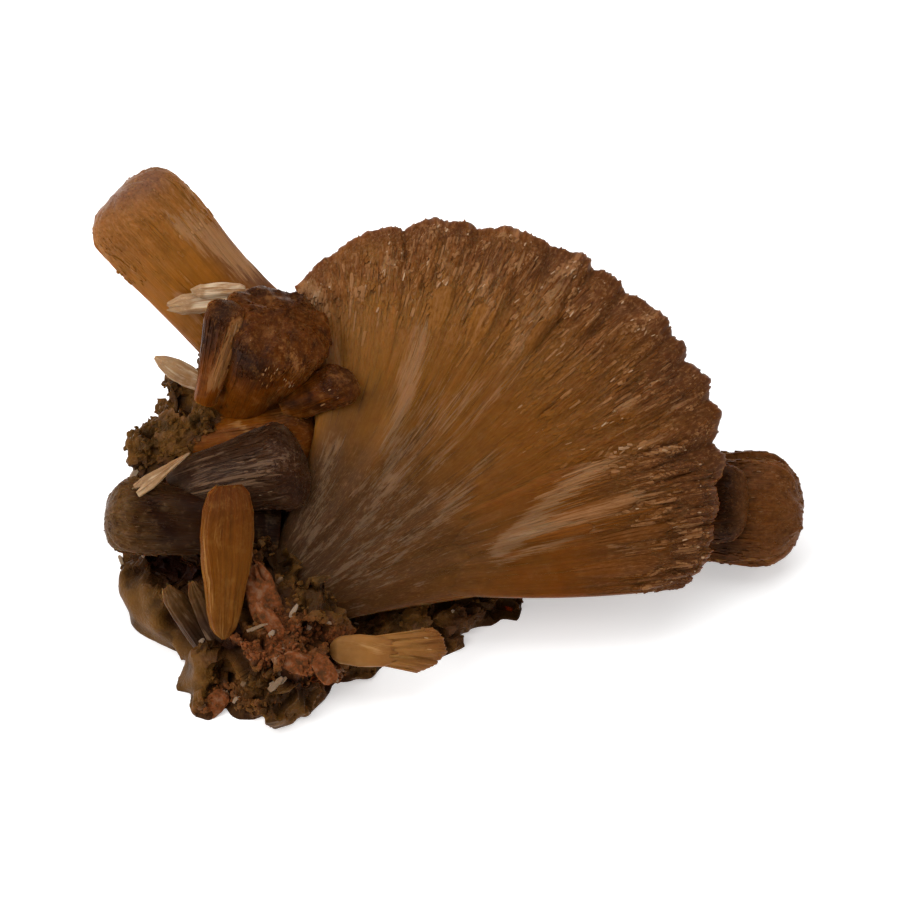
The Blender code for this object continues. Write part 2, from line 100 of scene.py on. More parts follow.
def smooth_step(low, high, values):
    """From 0 at low to 1 at high, level at both ends."""
    share = np.clip((values - low) / (high - low), 0, 1)
    return share * share * (3 - 2 * share)


def waves(across, along, seed):
    """Smooth noise from -0.5 to 0.5 over two coordinates, with features one unit long."""
    table = np.random.default_rng(seed).random((64, 64)) - 0.5
    column, row = np.floor(across).astype(int), np.floor(along).astype(int)
    a, b = smooth_step(0, 1, across - column), smooth_step(0, 1, along - row)
    knots = [[table[(row + up) % 64, (column + right) % 64] for right in (0, 1)] for up in (0, 1)]
    return between([between(pair, a) for pair in knots], b)


def lean(points):
    """Points of the leaning plane, in millimetres, as points on the stand."""
    return points @ LEANING + (0, 0, PLANE_HEIGHT)


def on_plane(points):
    """Points of the stand as points of the leaning plane."""
    return (points - (0, 0, PLANE_HEIGHT)) @ LEANING.T


def streak_strength(points, streaks):
    """How strongly streaks cover points of the plane: 1 on a streak, fading to both sides of it."""
    x, y = points[..., 0], points[..., 1]
    cover = np.zeros(x.shape)
    for (x0, y0), (x1, y1), half_width, strength in streaks:
        run_x, run_y = x1 - x0, y1 - y0
        share = np.clip(((x - x0) * run_x + (y - y0) * run_y) / (run_x**2 + run_y**2), 0, 1)
        off = np.hypot(x - x0 - run_x * share, y - y0 - run_y * share)
        cover = np.maximum(cover, strength * np.exp(-((off / half_width) ** 2)))
    return cover


# Pieces and their meshes

def numbered(*shape):
    """Numbers of the points of a grid, in the order in which they are kept."""
    return np.arange(math.prod(shape)).reshape(shape)


def tube_faces(number):
    """Faces of a tube with a cap at both ends, from its points' numbers, ring by ring."""
    after = np.roll(number, -1, axis=1)
    sides = np.stack((number[:-1], number[1:], after[1:], after[:-1]), axis=-1)
    return [*sides.reshape(-1, 4).tolist(), number[0, ::-1].tolist(), number[-1].tolist()]


def new_object(name, points, faces):
    mesh = bpy.data.meshes.new(name)
    mesh.from_pydata(points, [], faces)
    thing = bpy.data.objects.new(name, mesh)
    bpy.context.scene.collection.objects.link(thing)
    return thing


class Parts:
    """Shapes gathered into one piece, with what the finish needs to know at each point.

    fibre is the place across and along the laths, in millimetres, with a number of the lath's own;
    tone is how pale the place is, its share of the way from root to rim, and chance; side runs from
    0 at a fan's left edge to 1 at its lower edge.
    """

    def __init__(self):
        self.points, self.faces, self.values = [], [], []
        self.count = 0

    def add(self, points, faces, fibre, tone, side=0.0):
        spread = [np.broadcast_to(value, points.shape[:-1]).ravel() for value in (*fibre, *tone, side)]
        self.faces += [[number + self.count for number in face] for face in faces]
        self.points.append(points.reshape(-1, 3))
        self.values.append(np.stack(spread, axis=1))
        self.count += len(spread[0])


def make_piece(name, parts, finish, node, smooth=False, leaning=True, shadow_and_tint_streaks=(), pales=()):
    """One piece of the model from gathered parts; shades and pales are streaks of the plane where its
    second colour and its pale one show. On sheaves the second colour is mostly painted shade."""
    points = np.concatenate(parts.points)
    fibre, tone, side = np.split(np.concatenate(parts.values), (3, 6), axis=1)
    tone[:, 0] += streak_strength(points, pales)
    side = np.clip(np.maximum(side[:, 0], streak_strength(points, shadow_and_tint_streaks)), 0, 1)
    if leaning:
        points = lean(points)
    piece = new_object(name, ((points + (*CENTRING, 0)) * MM).tolist(), parts.faces)
    mesh = piece.data
    shape = bmesh.new()
    shape.from_mesh(mesh)
    bmesh.ops.recalc_face_normals(shape, faces=shape.faces)
    shape.to_mesh(mesh)
    shape.free()
    for attribute, values in (("fibre", fibre), ("tone", tone)):
        mesh.attributes.new(attribute, "FLOAT_VECTOR", "POINT").data.foreach_set("vector", values.ravel())
    mesh.attributes.new("side", "FLOAT", "POINT").data.foreach_set("value", side)
    mesh.materials.append(finish)
    mesh.polygons.foreach_set("use_smooth", [smooth] * len(mesh.polygons))
    mesh.update()
    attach(piece, "root")
    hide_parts(node)


# Laths, each a bar with a bevelled top; tips are short straight ones whose roots are sunk in a skin

LATH_CORNERS = ((-1.0, -1.0), (-0.70, 1.0), (0.70, 1.0), (1.0, -1.0))
TIP_STATIONS = (0.0, 0.66, 1.0)
TIP_WIDTHS = (0.75, 1.0, 0.34)
TIP_HEIGHTS = (0.8, 1.0, 0.35)


def add_laths(parts, paths, normals, half_widths, heights, pale, zone, chance, side=0.0):
    """Many laths along their paths, closed at both ends.

    Paths and normals are laths by stations by 3, half widths and heights are laths by stations, and
    pale, zone, chance and side are one value a lath.
    """
    along = unit(np.gradient(paths, axis=1))
    sides = unit(np.cross(normals, along))
    ups = np.cross(along, sides)
    across, up = np.array(LATH_CORNERS).T
    across, up = half_widths[..., None] * across, heights[..., None] * up
    points = paths[:, :, None] + sides[:, :, None] * across[..., None] + ups[:, :, None] * up[..., None]
    steps = np.linalg.norm(np.diff(paths, axis=1, prepend=paths[:, :1]), axis=-1)
    run = np.cumsum(steps, axis=1)[..., None]
    lath = np.array(tube_faces(numbered(*points.shape[1:3])))
    first = numbered(*points.shape[:3])[:, 0, 0]
    faces = (lath + first[:, None, None]).reshape(-1, 4).tolist()
    pale, zone, own, side = (np.reshape(value, (-1, 1, 1)) for value in (pale, zone, chance, side))
    parts.add(points, faces, (across + own * 97, run, own * 31), (pale, zone, own), side)


def add_tips(parts, bases, along, normals, lengths, half_widths, heights, pale, zone, chance, side=0.0):
    """Tips; along, normals and bases are tips by 3, and all the rest is one value a tip."""
    paths = bases[:, None] + along[:, None] * (lengths[:, None] * TIP_STATIONS)[..., None]
    normals = np.broadcast_to(normals[:, None], paths.shape)
    add_laths(parts, paths, normals, half_widths[:, None] * TIP_WIDTHS, heights[:, None] * TIP_HEIGHTS,
              pale, zone, chance, side)


# Fans

# Notches of a rim, and the shares of a fibre between which the front steps down to the lath ends
NOTCH_DEPTH = 0.45
NOTCH_HALF_WIDTH = 0.020
STEP_DOWN_SHARES = (0.60, 0.92)


@dataclass
class Fan:
    """Half of a bow tie: laths that spread from a short root line and end in a domed, scalloped rim.

    A fibre is named by u, from -1 at the left edge to 1 at the lower edge, and a place on it by its
    share t of the fibre's length. starts and ends are the edge fibres' angles at root and rim; front
    and back are the heights of a face at the root and at the shoulder; step_down is how much higher
    the front stands inside the zone of its lath ends.
    """

    roots: tuple
    starts: tuple
    ends: tuple
    lengths: tuple
    front: tuple
    back: tuple
    notches: tuple
    seed: int
    lift: float = 0.0
    curl: float = 1.2
    step_down: float = 1.7
    first_zone: float = 0.0
    first_side: float = 0.0
    creases: tuple = ()
    streaks: tuple = ()
    ragged: float = 1.0
    lumpiness: float = 1.0

    SHOULDER = 0.70
    EDGE_HEIGHT = 0.42
    LEAST_RIM = 0.10
    STEPS = 10

    def bulge(self, u):
        """The place across its scallop of the rim: 1 in the middle and 0 at the notches."""
        marks = np.array((-1.0, *self.notches, 1.0))
        after = np.clip(np.searchsorted(marks, u), 1, len(marks) - 1)
        share = (u - marks[after - 1]) / (marks[after] - marks[after - 1])
        return 1 - np.abs(2 * share - 1) ** 3

    def length(self, u):
        """The fibre's length, cut back at each notch of the rim and uneven between them."""
        length = np.interp(u, np.linspace(-1, 1, len(self.lengths)), self.lengths)
        for notch in self.notches:
            length = length - NOTCH_DEPTH * self.ragged * np.exp(-(((u - notch) / NOTCH_HALF_WIDTH) ** 2))
        uneven = 0.7 * waves(u * 22 + 40, 0, self.seed) + 0.3 * waves(u * 75 + 90, 0, self.seed + 4)
        return length + self.ragged * (uneven + 0.45 * (self.bulge(u) - 0.7))

    def place(self, u, t):
        """Where on the plane the fibre u is at its share t."""
        share = (u + 1) / 2
        x, y = (between(ends, share) for ends in zip(*self.roots))
        angles = [np.radians(between(ends, share)) for ends in (self.starts, self.ends)]
        stretch = self.length(u) * t / self.STEPS
        for step in range(self.STEPS):
            reached = np.maximum(t, 0) * (step + 0.5) / self.STEPS
            turned = between(angles, reached**self.curl)
            x = x + stretch * np.cos(turned)
            y = y + stretch * np.sin(turned)
        return x, y

    def lumps(self, u, t):
        """How high the front's lumps stand: broad ones in the rim zone, with knobs nearer to the rim."""
        across, along = u * 26 * self.lumpiness, t * np.median(self.lengths) / 3.6
        broad = waves(across + 9, along, self.seed + 3) * smooth_step(0.5, 0.8, t)
        knobs = waves(across * 1.85 + 5, along * 2, self.seed + 6) * smooth_step(0.74, 0.88, t)
        return self.ragged * (0.6 * broad + 0.8 * knobs)

    def thickness(self, heights, u, t):
        """A face's height over the mid-plane: it rises to the shoulder, then domes down to the rim."""
        height = between(heights, np.minimum(t / self.SHOULDER, 1))
        past = np.clip((t - self.SHOULDER) / (1 - self.SHOULDER), 0, 1)
        height = height * (np.maximum(1 - past**2.4, 0) ** 0.62 + self.LEAST_RIM * past)
        edge = np.maximum(1 - np.abs(u) ** 5, 0) ** 0.5
        return height * (self.EDGE_HEIGHT + (1 - self.EDGE_HEIGHT) * edge)

    def surface(self, u, t, face=1, offset=0.0):
        """Points of the front (face 1) or the back (face -1); offset stands them proud of it."""
        u, t = np.broadcast_arrays(u, t)
        x, y = self.place(u, t)
        inner = 1 - smooth_step(0.8, 1.0, t)
        if face > 0:
            inside = 1 - smooth_step(*STEP_DOWN_SHARES, t + 0.05 * (waves(u * 9 + 20, 0, 5) + 0.5))
            swell = waves(u * 7 + 30, t * 2.2, self.seed + 1) * np.minimum(t / 0.4, 1) * inner
            height = self.thickness(self.front, u, t) + 0.9 * swell
            height = height + self.step_down * inside * np.minimum(t / 0.3, 1)
            rough = 0.22 * (self.bulge(u) - 0.6) * smooth_step(0.76, 0.92, t) + self.lumps(u, t)
            height = height + rough * (1 - smooth_step(0.97, 1.0, t))
            height = height - streak_strength(np.stack((x, y), axis=-1), self.creases)
        else:
            swell = waves(u * 7 + 30, t * 2.2, self.seed + 2) * inner
            height = self.thickness(self.back, u, t) + 0.6 * swell - 0.2
        return np.stack((x, y, self.lift + face * (height + offset)), axis=-1)

    def directions(self, u, t, face=1):
        """Along the fibre and out of the face, at each place."""
        step = 0.01
        along = unit(self.surface(u, t + step, face) - self.surface(u, t - step, face))
        beside = self.surface(u + step, t, face) - self.surface(u, t, face)
        outward = unit(np.cross(beside, along))
        return along, outward * np.where(outward[..., 2:] * face < 0, -1.0, 1.0)

    def find(self, points):
        """The fibres, and the shares of their lengths, nearest to points of the plane."""
        u, t = np.meshgrid(np.linspace(-1, 1, 301), np.linspace(0, 1, 201))
        at_x, at_y = self.place(u, t)
        nearest = [np.argmin((at_x - x) ** 2 + (at_y - y) ** 2) for x, y in points]
        return u.ravel()[nearest], t.ravel()[nearest]

    def zone(self, t):
        """The share of the way from root to rim that the finish shows at t."""
        return between((self.first_zone, 1), t)

    def side(self, u):
        """The share of the way from the left edge's colours to the lower edge's."""
        return between((self.first_side, 1), (u + 1) / 2)


# Creases are pits in the face: from, to, half width and depth. Streaks are pale opaque laths on the
# plane: from, to, half width and strength
GREAT_FAN = Fan(
    roots=((-23.5, -14.6), (-18.0, -22.4)), starts=(62, 14), ends=(118, -6), curl=1.6,
    lengths=(36.8, 46.1, 51.3, 55.3, 58.0, 59.4, 58.9, 54.6, 46.9), front=(3.6, 5.2), back=(4.5, 6.5),
    notches=(-0.62, -0.40, -0.18, -0.04, 0.07, 0.25, 0.33, 0.46, 0.58, 0.70), seed=11,
    creases=(
        ((-10.6, 23.4), (-5.4, 24.0), 0.35, 0.55),
        ((-5.4, 24.0), (-1.2, 23.2), 0.35, 0.60),
        ((4.2, 15.4), (5.4, 17.6), 0.28, 0.55),
        ((1.9, 16.7), (2.2, 17.0), 0.30, 0.50),
        ((-1.6, 21.4), (-1.0, 22.2), 0.35, 0.50),
        ((12.6, 5.4), (13.2, 5.8), 0.40, 0.45),
        ((5.4, 20.6), (7.0, 21.6), 0.30, 0.45),
        ((7.2, 15.6), (8.8, 18.0), 0.25, 0.40),
    ),
    streaks=(
        ((-8.0, -4.5), (-3.6, 15.5), 1.5, 1.0),
        ((-6.5, -3.5), (2.4, 7.5), 2.6, 0.6),
        ((-5.0, 1.0), (-1.0, 7.0), 2.4, 0.6),
        ((-11.0, -9.0), (-5.0, 3.0), 2.8, 0.6),
        ((-18.0, -14.0), (-15.0, 1.0), 1.8, 0.7),
        ((-2.0, -1.5), (9.0, 11.0), 1.5, 0.6),
        ((-4.0, -7.0), (7.0, 0.0), 1.4, 0.6),
        ((-14.0, -15.5), (2.0, -6.0), 2.8, 0.6),
        ((-12.0, -10.5), (-3.0, -3.0), 3.4, 0.5),
        ((3.5, 17.0), (7.0, 24.0), 2.6, 0.7),
        ((8.0, 13.0), (13.5, 21.0), 2.2, 0.7),
        ((11.8, 17.6), (13.2, 20.2), 0.9, 1.2),
        ((-14.6, 10.5), (-17.2, 20.0), 1.0, 1.1),
        ((-9.5, 22.5), (0.0, 24.5), 1.2, 0.7),
        ((21.5, 5.5), (24.0, 7.5), 0.8, 0.8),
        ((27.5, 5.0), (30.5, 6.6), 0.6, 0.9),
    ),
)
# The lobe at the fan's lower right, which stands proud of it
LOBE = Fan(
    roots=((-7.0, -11.5), (-5.0, -17.8)), starts=(32, -5), ends=(17, 8), lift=1.6,
    lengths=(33.3, 38.2, 40.3, 40.3, 39.3, 37.6, 34.5), front=(3.0, 4.6), back=(3.0, 4.0),
    notches=(-0.45, 0.30), first_zone=0.20, first_side=0.75, lumpiness=0.45, seed=12,
    streaks=(
        ((7.0, -11.2), (23.0, -6.0), 1.2, 1.5),
        ((6.0, -12.5), (22.5, 2.0), 1.5, 1.1),
        ((5.0, -14.5), (18.0, -9.8), 0.8, 0.8),
        ((17.5, -0.5), (24.0, 2.5), 1.2, 0.8),
        ((20.0, -12.0), (25.0, -12.4), 0.4, 0.8),
    ),
)
# The small pale fan on the matrix below
PALE_FAN = Fan(
    roots=((-14.0, -23.8), (-13.6, -26.2)), starts=(7, -8), ends=(9, -13), lift=8.0,
    lengths=(12.0, 13.2, 13.4, 12.0, 9.6), front=(0.9, 1.5), back=(0.9, 1.5), notches=(-0.35, 0.35),
    step_down=0.5, ragged=0.3, lumpiness=0.2, seed=13,
)

# Where a skin has rows of points along its laths: shares of a fan's fibres and stations of a sheaf
FRONT_BODY_SHARES = np.arange(10) * 0.05
FRONT_STEPS = 13
FRONT_STEP_RANGE = (0.49, 0.95)
RIM_SHARES = np.array((0.968, 0.984, 0.995, 1.0))
BACK_STEPS = 7
BACK_STEP_RANGE = (0.955, 0.60)
BACK_BODY_SHARES = (0.55, 0.45, 0.35, 0.25, 0.15, 0.07, 0.0)
SHEAF_BODY_STATIONS = (0.0, 0.12, 0.24, 0.36, 0.48)
SHEAF_STEPS = 9
SHEAF_STEP_RANGE = (0.50, 0.93)
SHEAF_END_STATIONS = (0.95, 0.97, 0.985, 0.995, 0.9995)
SHEAF_RELIEF = 0.055

# Three columns of points make a lath's ridge: the place across it, and 1 in the groove
RIDGE_PROFILE = ((0.06, 1), (0.34, 0), (0.80, 0))


def lath_steps(laths, count, span, seed, slope, height=1.0):
    """A foot and a top for each lath's steps, and their heights: neighbours often end together."""
    chance = np.random.default_rng(seed)
    spacing = (span[1] - span[0]) / count
    together = waves(np.arange(laths)[:, None] / 4.5 + 7, np.arange(count) * 1.7, seed + 50)
    shifts = 0.75 * together + 0.30 * (chance.random((laths, count)) - 0.5)
    ends = span[0] + spacing * (np.arange(count) + 0.5 + shifts * 0.9)
    sizes = height * (0.10 + 0.42 * chance.random((laths, count)) ** 1.5)
    rows = (np.stack((ends, ends + slope), axis=-1), np.stack((sizes, -sizes), axis=-1) / 2)
    return [row.reshape(laths, -1) for row in rows]


def ridged_rows(edges, prouds, *stretches):
    """A skin's columns of points, three to a lath: where each stands, in laths, and along it the
    shares, how far each point rises, and how low it lies in the groove. A stretch of the columns is
    its shares and its rises; prouds are the rises of whole laths."""
    laths = len(edges) - 1
    rows = [[], []]
    for stretch in stretches:
        for row, values in zip(rows, stretch):
            row.append(np.broadcast_to(values, (laths, np.shape(stretch[0])[-1])))
    shares, rises = (np.concatenate(row, axis=1) for row in rows)
    places, lows = np.array(RIDGE_PROFILE).T
    at = (edges[:-1, None] + np.diff(edges)[:, None] * places).reshape(-1, 1)
    columns = len(RIDGE_PROFILE)
    return (at, np.repeat(shares, columns, axis=0), np.repeat(rises + prouds, columns, axis=0),
            np.tile(lows, laths)[:, None])


def add_fan_skin(parts, fan, laths, step_size=0.17, groove=0.02):
    """The fan's closed outside, up the front, over the rim and down the back."""
    chance = np.random.default_rng(fan.seed + 100)
    edges = np.arange(laths + 1) + chance.uniform(-0.25, 0.25, laths + 1)
    edges[[0, -1]] = 0, laths
    rim = RIM_SHARES * (1 + chance.uniform(-0.003, 0.002, (laths, 1)))
    u, t, rise, low = ridged_rows(
        edges, 0.25 * chance.uniform(-0.5, 0.5, (laths, 1)), (FRONT_BODY_SHARES, 0),
        lath_steps(laths, FRONT_STEPS, FRONT_STEP_RANGE, fan.seed, 0.003), (rim, 0), (rim[:, -2::-1], 0),
        lath_steps(laths, BACK_STEPS, BACK_STEP_RANGE, fan.seed + 9, -0.003, -0.7), (BACK_BODY_SHARES, 0))
    u = 2 * u / laths - 1
    u[[0, -1]] = (-1,), (1,)
    offset = rise * (0.15 + 0.85 * smooth_step(0.35, 0.75, t)) * step_size
    offset = offset - low * groove * (0.3 + 0.7 * smooth_step(0.1, 0.7, t))
    offset = offset * np.minimum(t / 0.15, 1) * np.clip(1 - (t - 0.95) * 14, 0.2, 1)
    front_rows = len(FRONT_BODY_SHARES) + 2 * FRONT_STEPS + len(RIM_SHARES)
    (front_t, back_t), (front_offset, back_offset) = (
        np.split(values, (front_rows,), axis=1) for values in (t, offset))
    points = np.concatenate((fan.surface(u, front_t, 1, front_offset),
                             fan.surface(u, back_t, -1, back_offset)), axis=1)
    length = np.median(fan.lengths)
    lumps = fan.lumps(u, t)
    # Raised lumps are paler and brighter, sunken ones darker: painted highlight and shade on the lumps
    pale = streak_strength(points, fan.streaks) + 1.4 * np.maximum(lumps, 0)
    own = np.random.default_rng(fan.seed + 3).random(laths) * 0.6 + 0.2
    own = np.clip(np.repeat(own, len(RIDGE_PROFILE))[:, None] + lumps, 0, 1)
    parts.add(points, tube_faces(numbered(*t.shape)), (u * length * 0.75, t * length, 0),
              (pale * (points[..., 2] > fan.lift), fan.zone(t), own), fan.side(u))


# The share of a fibre past which lath ends grow on the great fan's front, at fibres from left to right
RIM_STARTS_AT = (-1.0, -0.55, -0.2, 0.15, 0.6, 1.0)
RIM_STARTS = (0.90, 0.84, 0.76, 0.64, 0.66, 0.80)
END_LEAN = 0.22


def add_rim_tips(parts, fan, count, seed, face=1, starts=RIM_STARTS):
    """Lath ends over the rim zone of one face, each along its fibre and lifted a little out of it."""
    chance = np.random.default_rng(seed)
    u = chance.uniform(-0.995, 0.995, count * 2)
    start = np.interp(u, RIM_STARTS_AT, starts) - np.abs(chance.normal(0, 0.035, count * 2))
    t = start + (1.0 - start) * chance.random(count * 2) ** 0.85
    keep = np.flatnonzero(chance.random(count * 2) < (t / t.max()) ** 1.5)[:count]
    u, t = u[keep], np.minimum(t[keep], 0.978)
    count = len(u)
    front = face > 0
    along, _ = fan.directions(u, np.minimum(t, 0.72), face)
    _, outward = fan.directions(u, t, face)
    yaw = chance.normal(0, 0.16, count) + END_LEAN * front * smooth_step(0.6, -0.2, u)
    up = np.array((0, 0, float(face)))
    lift = up * chance.uniform(-0.03, 0.05, (count, 1))
    along = unit(along + np.cross(along, (0, 0, 1.0)) * yaw[:, None] + lift)
    lengths = (0.40 + 0.5 * chance.random(count)) * (0.9 + 0.7 * smooth_step(1.0, 0.72, t))
    half_widths = LATH_WIDTH * chance.uniform(0.40, 0.95, count)
    heights = half_widths * chance.uniform(0.15, 0.30, count)
    ends = fan.surface(u, t, face, chance.uniform(-0.12, 0.0, count))
    proud = chance.uniform(-0.05, 0.05, count)
    proud = proud + chance.uniform(0.0, 0.32, count) * smooth_step(0.84, 0.95, t)
    bases = ends + along * (proud - lengths)[:, None]
    lumps = fan.lumps(u, t) * front
    pale = 0.7 * streak_strength(bases, fan.streaks) * front + 0.30 * chance.random(count) ** 2
    # A few ends get a painted glint, more of them on the lumps' tops
    painted_glints = chance.random(count) > 0.93 - 0.25 * lumps
    # Raised lumps are paler and brighter, sunken ones darker: painted highlight and shade on the lumps
    pale = pale + 1.8 * np.maximum(lumps, 0) + painted_glints * chance.uniform(0.4, 1.8, count)
    own = np.clip(chance.random(count) * 0.6 + 0.2 + 1.2 * lumps, 0, 1)
    add_tips(parts, bases, along, unit(outward + up * 0.8), lengths,
             half_widths * np.where(painted_glints, 0.5, 1.0), heights, pale, fan.zone(t), own, fan.side(u))


def add_fibre_laths(parts, fan, count, seed, widths=(0.10, 0.30), runs=(4.0, 13.0), face=1,
                    only_pale=False):
    """Long laths that follow the fibres over a face: buried at the root end, proud at the tip."""
    chance = np.random.default_rng(seed)
    u = chance.uniform(-0.985, 0.985, (count, 1))
    start = chance.uniform(0.12, 0.78, (count, 1))
    if only_pale:
        pale = streak_strength(fan.surface(u, start + 0.06), fan.streaks)
        keep = (pale > chance.uniform(0.15, 0.9, (count, 1)))[:, 0]
        u, start = u[keep], start[keep]
        count = len(u)
    run = chance.uniform(*runs, (count, 1)) * (0.5 + 0.5 * start) / np.median(fan.lengths)
    stations = np.linspace(0, 1, 6)
    t = between((start, np.minimum(start + run, 0.93)), stations)
    at = np.clip(u + chance.normal(0, 0.006, (count, 1)) * stations, -0.99, 0.99)
    paths = fan.surface(at, t, face, -0.07 + stations * chance.uniform(0.06, 0.16, (count, 1)))
    _, normals = fan.directions(at, t, face)
    half_widths = chance.uniform(*widths, (count, 1)) * (0.35 + 0.65 * start)
    half_widths = half_widths * (0.30, 0.8, 1.0, 1.0, 0.85, 0.12)
    heights = half_widths * (0.5, 0.5, 0.5, 0.5, 0.45, 0.25)
    pale = 0.8 * streak_strength(paths[:, 3], fan.streaks) * (face > 0) + 0.3 * chance.random(count) ** 2
    add_laths(parts, paths, normals, half_widths, heights, pale, fan.zone(start), chance.random(count),
              fan.side(u))


# Broad lath bundles with rounded ends: the end's place on the plane, half width, length and how proud
# the end stands
BUNDLES = (
    ((-0.4, 20.6), 1.6, 8.0, 0.55),
    ((4.8, 18.2), 1.5, 8.0, 0.55),
    ((12.0, 16.0), 1.0, 7.0, 0.40),
)
LOBE_BUNDLES = (
    ((23.6, -6.0), 1.25, 16.0, 0.55),
    ((22.0, 1.6), 1.3, 15.0, 0.55),
    ((27.6, -9.8), 1.5, 13.0, 0.50),
    ((26.4, -14.0), 1.5, 15.0, 0.45),
    ((18.0, -9.6), 0.7, 12.0, 0.45),
)


def add_bundle(parts, fan, end, half_width, length, proud, seed):
    """One broad flat bundle of fused laths with a rounded end, grooved along its fibres."""
    u_end, t_end = (value[0] for value in fan.find([end]))
    reach = fan.length(u_end)
    across = np.linspace(-1, 1, 25)[:, None]
    along = np.concatenate((np.linspace(0, 0.86, 22), 1 - 0.14 * np.linspace(1, 0, 14)[1:] ** 1.6))[None]
    t = t_end - (1 - along) * length / reach
    here, beside = (np.array(fan.place(u_end + aside, t_end)) for aside in (0, 0.02))
    rounding = np.sqrt(np.maximum(1 - np.clip((along - 0.86) / 0.14, 0, 1) ** 2.2, 0.0004))
    widening = 0.45 + 0.55 * smooth_step(0, 0.7, along)
    u = across * rounding * widening * 0.02 * half_width / np.linalg.norm(beside - here)
    u = np.clip(u_end + u, -0.99, 0.99)
    dome = np.maximum(1 - np.abs(across) ** 3.0, 0) ** 0.5
    dome = dome * np.sqrt(np.maximum(1 - np.clip((along - 0.88) / 0.12, 0, 1) ** 2, 0))
    grooves = waves(across * half_width * 4.0 + 30, along * 2.0, seed)
    height = (proud * smooth_step(0.0, 0.9, along) + 0.22 * grooves) * dome
    outside, inside = fan.surface(u, t, 1, height - 0.1), fan.surface(u, t, 1, -0.8)
    points = np.concatenate((outside, inside[:, ::-1]), axis=1)
    u, t = (np.concatenate((values, values[:, ::-1]), axis=1) for values in (u, t))
    parts.add(points, tube_faces(numbered(*points.shape[:2])), (u * reach * 0.75, t * reach, 0),
              (0.6 * streak_strength(points, fan.streaks), fan.zone(t), seed * 0.37 % 1), fan.side(u))


# Lines on the plane where many laths of a fan end together, the number of ends on each, how far they
# scatter from it and how proud they stand
END_LINES = (
    (((-15.0, 19.5), (-9.0, 23.6), (-1.0, 24.4), (4.0, 23.0)), 80, 0.7, 0.26),
    (((-15.6, 21.0), (-8.0, 26.0), (2.0, 26.6), (12.0, 23.4)), 90, 0.9, 0.24),
    (((-14.0, 17.0), (-2.0, 20.6), (6.0, 19.0), (14.0, 15.0), (20.0, 9.0), (24.0, 5.4)), 120, 1.7, 0.22),
    (((0.0, 15.5), (9.0, 13.5), (17.0, 7.5), (22.0, 2.0)), 26, 1.8, 0.16),
    (((8.0, 23.6), (18.0, 17.0), (25.0, 9.0), (29.0, 4.0)), 80, 1.9, 0.22),
)
LOBE_END_LINES = (
    (((24.0, 5.0), (27.4, -6.5), (24.0, -15.6)), 90, 0.6, 0.30),
    (((30.5, -2.5), (32.6, -9.0), (30.5, -15.0)), 80, 0.5, 0.30),
)


def add_end_lines(parts, fan, lines, seed):
    """Laths that end along lines across the fan, tips proud of the face like shingles."""
    chance = np.random.default_rng(seed)
    stations = np.array((0.0, 0.4, 0.8, 0.96, 1.0))
    for line, count, scatter, proud in lines:
        corners = np.array(line)
        run = np.concatenate(((0,), np.cumsum(np.linalg.norm(np.diff(corners, axis=0), axis=1))))
        at = chance.uniform(0, run[-1], count)
        places = [np.interp(at, run, values) + chance.normal(0, scatter, count) for values in corners.T]
        u, ends = (values[:, None] for values in fan.find(zip(*places)))
        u = np.clip(u, -0.985, 0.985)
        runs = chance.uniform(1.4, 3.4, (count, 1))
        t = np.minimum(ends, 0.96) - runs / np.median(fan.lengths) * (1 - stations)
        rise = stations * proud * chance.uniform(0.2, 0.7, (count, 1)) - 0.05
        slant = 0.004 * runs * smooth_step(0.6, -0.2, u)
        spread = np.clip(u - slant * (1 - stations), -0.99, 0.99)
        paths = fan.surface(spread, t, 1, rise)
        _, normals = fan.directions(spread, t)
        half_widths = chance.uniform(0.12, 0.30, (count, 1)) * (0.6, 0.9, 1.0, 0.9, 0.45)
        pale = 0.9 * chance.random(count) ** 1.8
        add_laths(parts, paths, normals, half_widths, 0.03 + half_widths * 0.25, pale, fan.zone(ends),
                  chance.random(count), fan.side(u))


# Sheaves and blades

class Bar:
    """A crystal along an axis from root to tip, whose flat side looks in the facing direction.

    A place on it is its turn round the axis, in radians, and its station from 0 at the root to 1 at
    the tip.
    """

    def __init__(self, root, tip, facing, seed):
        self.root = np.array(root, float)
        self.run = np.array(tip, float) - self.root
        self.length = np.linalg.norm(self.run)
        self.axis = unit(self.run)
        self.side = unit(np.cross(facing, self.axis))
        self.face = np.cross(self.axis, self.side)
        self.seed = seed

    def on_axis(self, station):
        return self.root + self.run * np.asarray(station)[..., None]

    def off_axis(self, turn, wide, deep):
        """How far from the axis a turn's point is, in an outline this wide and this deep."""
        across = self.side * (wide * np.cos(turn))[..., None]
        return across + self.face * (deep * np.sin(turn))[..., None]


